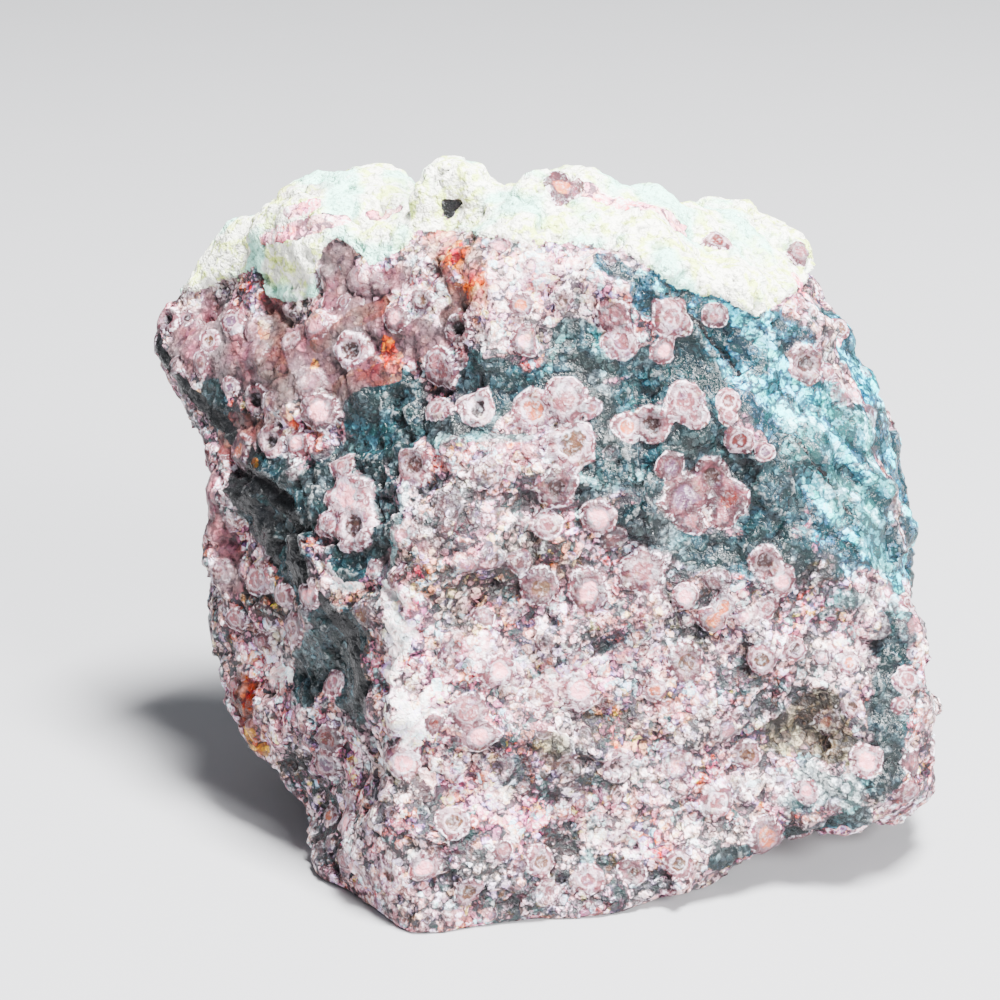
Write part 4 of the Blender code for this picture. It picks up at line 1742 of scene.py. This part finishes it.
    def build(self) -> bpy.types.Object:
        """Makes the stone and dresses it.

        Returns:
            The finished piece.
        """
        piece = self.fine_mesh()
        mesh = piece.data
        surface = self.read_surface(mesh)
        ground = GroundMap()
        ground.lay(surface)
        orbs = OrbField()
        orbs.place_seen(surface)
        orbs.scatter(surface, self.orb_room(surface, ground))
        out, owner = orbs.nearest(surface)
        height = Relief().raise_on(surface, ground, orbs, out, owner)
        self.move(mesh, surface, height)
        masks = self.orb_masks(orbs, out, owner)
        masks.update(self.ground_masks(surface, ground, masks["orb_show"] * ease(*ORB_EDGE, out)))
        # The hollow mask places the painted shade in crevices and the painted highlight on high edges.
        masks["hollow"] = np.clip(hollows(mesh, height, self.hollow_rings) / self.hollow_depth, -1.0, 1.0)
        for label, values in masks.items():
            layer = mesh.attributes.new(label, "FLOAT", "POINT")
            layer.data.foreach_set("value", values.astype(np.float32))
        mesh.shade_smooth()
        mesh.materials.append(StoneFinish().build())
        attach(piece, BODY)
        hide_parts(NODE)
        LOG.info("%s: %d vertices, %d faces, %d orbs", piece.name, len(mesh.vertices), len(mesh.polygons),
                 len(orbs.sizes))
        return piece


@dataclass(frozen=True)
class SoftLight:
    """One square soft light.

    Attributes:
        name: Its name.
        place: Where it stands, in metres.
        breadth: The length of its side, in metres.
        power: Its power, in watts.
        aim: The point that it shines on, in metres.
    """

    name: str
    place: tuple[float, float, float]
    breadth: float
    power: float
    aim: tuple[float, float, float] = (0.0, 0.0, 0.03)

    def build(self) -> None:
        """Makes the light and turns it towards the stone."""
        data = bpy.data.lights.new(self.name, "AREA")
        data.shape = "SQUARE"
        data.size = self.breadth
        data.energy = self.power
        light = bpy.data.objects.new(self.name, data)
        light.location = self.place
        light.rotation_mode = "QUATERNION"
        light.rotation_quaternion = (Vector(self.aim) - Vector(self.place)).to_track_quat("-Z", "Y")
        bpy.context.scene.collection.objects.link(light)


@dataclass(frozen=True)
class Studio:
    """The pale floor and the soft light around the stone.

    Attributes:
        floor_breadth: The length of the floor's side, in metres.
        floor_colour: Its colour.
        floor_roughness: How matt it is.
        mottle_scale: How many mottles it has to the metre.
        mottle: How bright its darkest mottles are, as a share.
        air: The strength of the light from all round.
        air_colour: Its colour.
        lights: The soft lights.
    """

    floor_breadth: float = 6.0
    floor_colour: Colour = (0.3, 0.3, 0.31, 1.0)
    floor_roughness: float = 0.85
    mottle_scale: float = 40.0
    mottle: float = 0.97
    air: float = 0.5
    air_colour: Colour = (0.88, 0.93, 1.0, 1.0)
    lights: tuple[SoftLight, ...] = (
        SoftLight("overhead", (0.14, -0.12, 0.75), 0.22, 52.0),
        SoftLight("front_right", (0.45, -0.55, 0.4), 0.3, 26.0),
    )

    def build(self) -> None:
        """Makes the floor, the lights and the sky."""
        whole = bmesh.new()
        bmesh.ops.create_grid(whole, x_segments=1, y_segments=1, size=self.floor_breadth / 2.0)
        data = bpy.data.meshes.new("floor")
        whole.to_mesh(data)
        whole.free()
        floor = bpy.data.objects.new("floor", data)
        bpy.context.scene.collection.objects.link(floor)
        data.materials.append(self.floor_finish())
        for light in self.lights:
            light.build()
        world = bpy.data.worlds.new("soft_air")
        world.use_nodes = True
        sky = world.node_tree.nodes["Background"]
        sky.inputs["Color"].default_value = self.air_colour
        sky.inputs["Strength"].default_value = self.air
        bpy.context.scene.world = world

    def floor_finish(self) -> bpy.types.Material:
        """Makes the floor's matt material.

        Returns:
            The finished material.
        """
        material = bpy.data.materials.new("pale_floor")
        material.use_nodes = True
        graph = Graph(material.node_tree)
        shader = material.node_tree.nodes["Principled BSDF"]
        spot = graph.node("ShaderNodeTexCoord").outputs["Object"]
        mottle = graph.node("ShaderNodeTexNoise")
        graph.plug(mottle.inputs["Vector"], spot)
        mottle.inputs["Scale"].default_value = self.mottle_scale
        darker = tuple(part * self.mottle for part in self.floor_colour[:3]) + (1.0,)
        graph.plug(shader.inputs["Base Color"], graph.blend(mottle.outputs["Fac"], self.floor_colour, darker))
        shader.inputs["Roughness"].default_value = self.floor_roughness
        return material


def main() -> None:
    """Builds the camera, the studio and the stone."""
    logging.basicConfig(level=logging.INFO, format="%(name)s: %(message)s")
    view = Viewpoint()
    view.build()
    Studio().build()
    Stone(view).build()


if __name__ == "__main__":
    main()
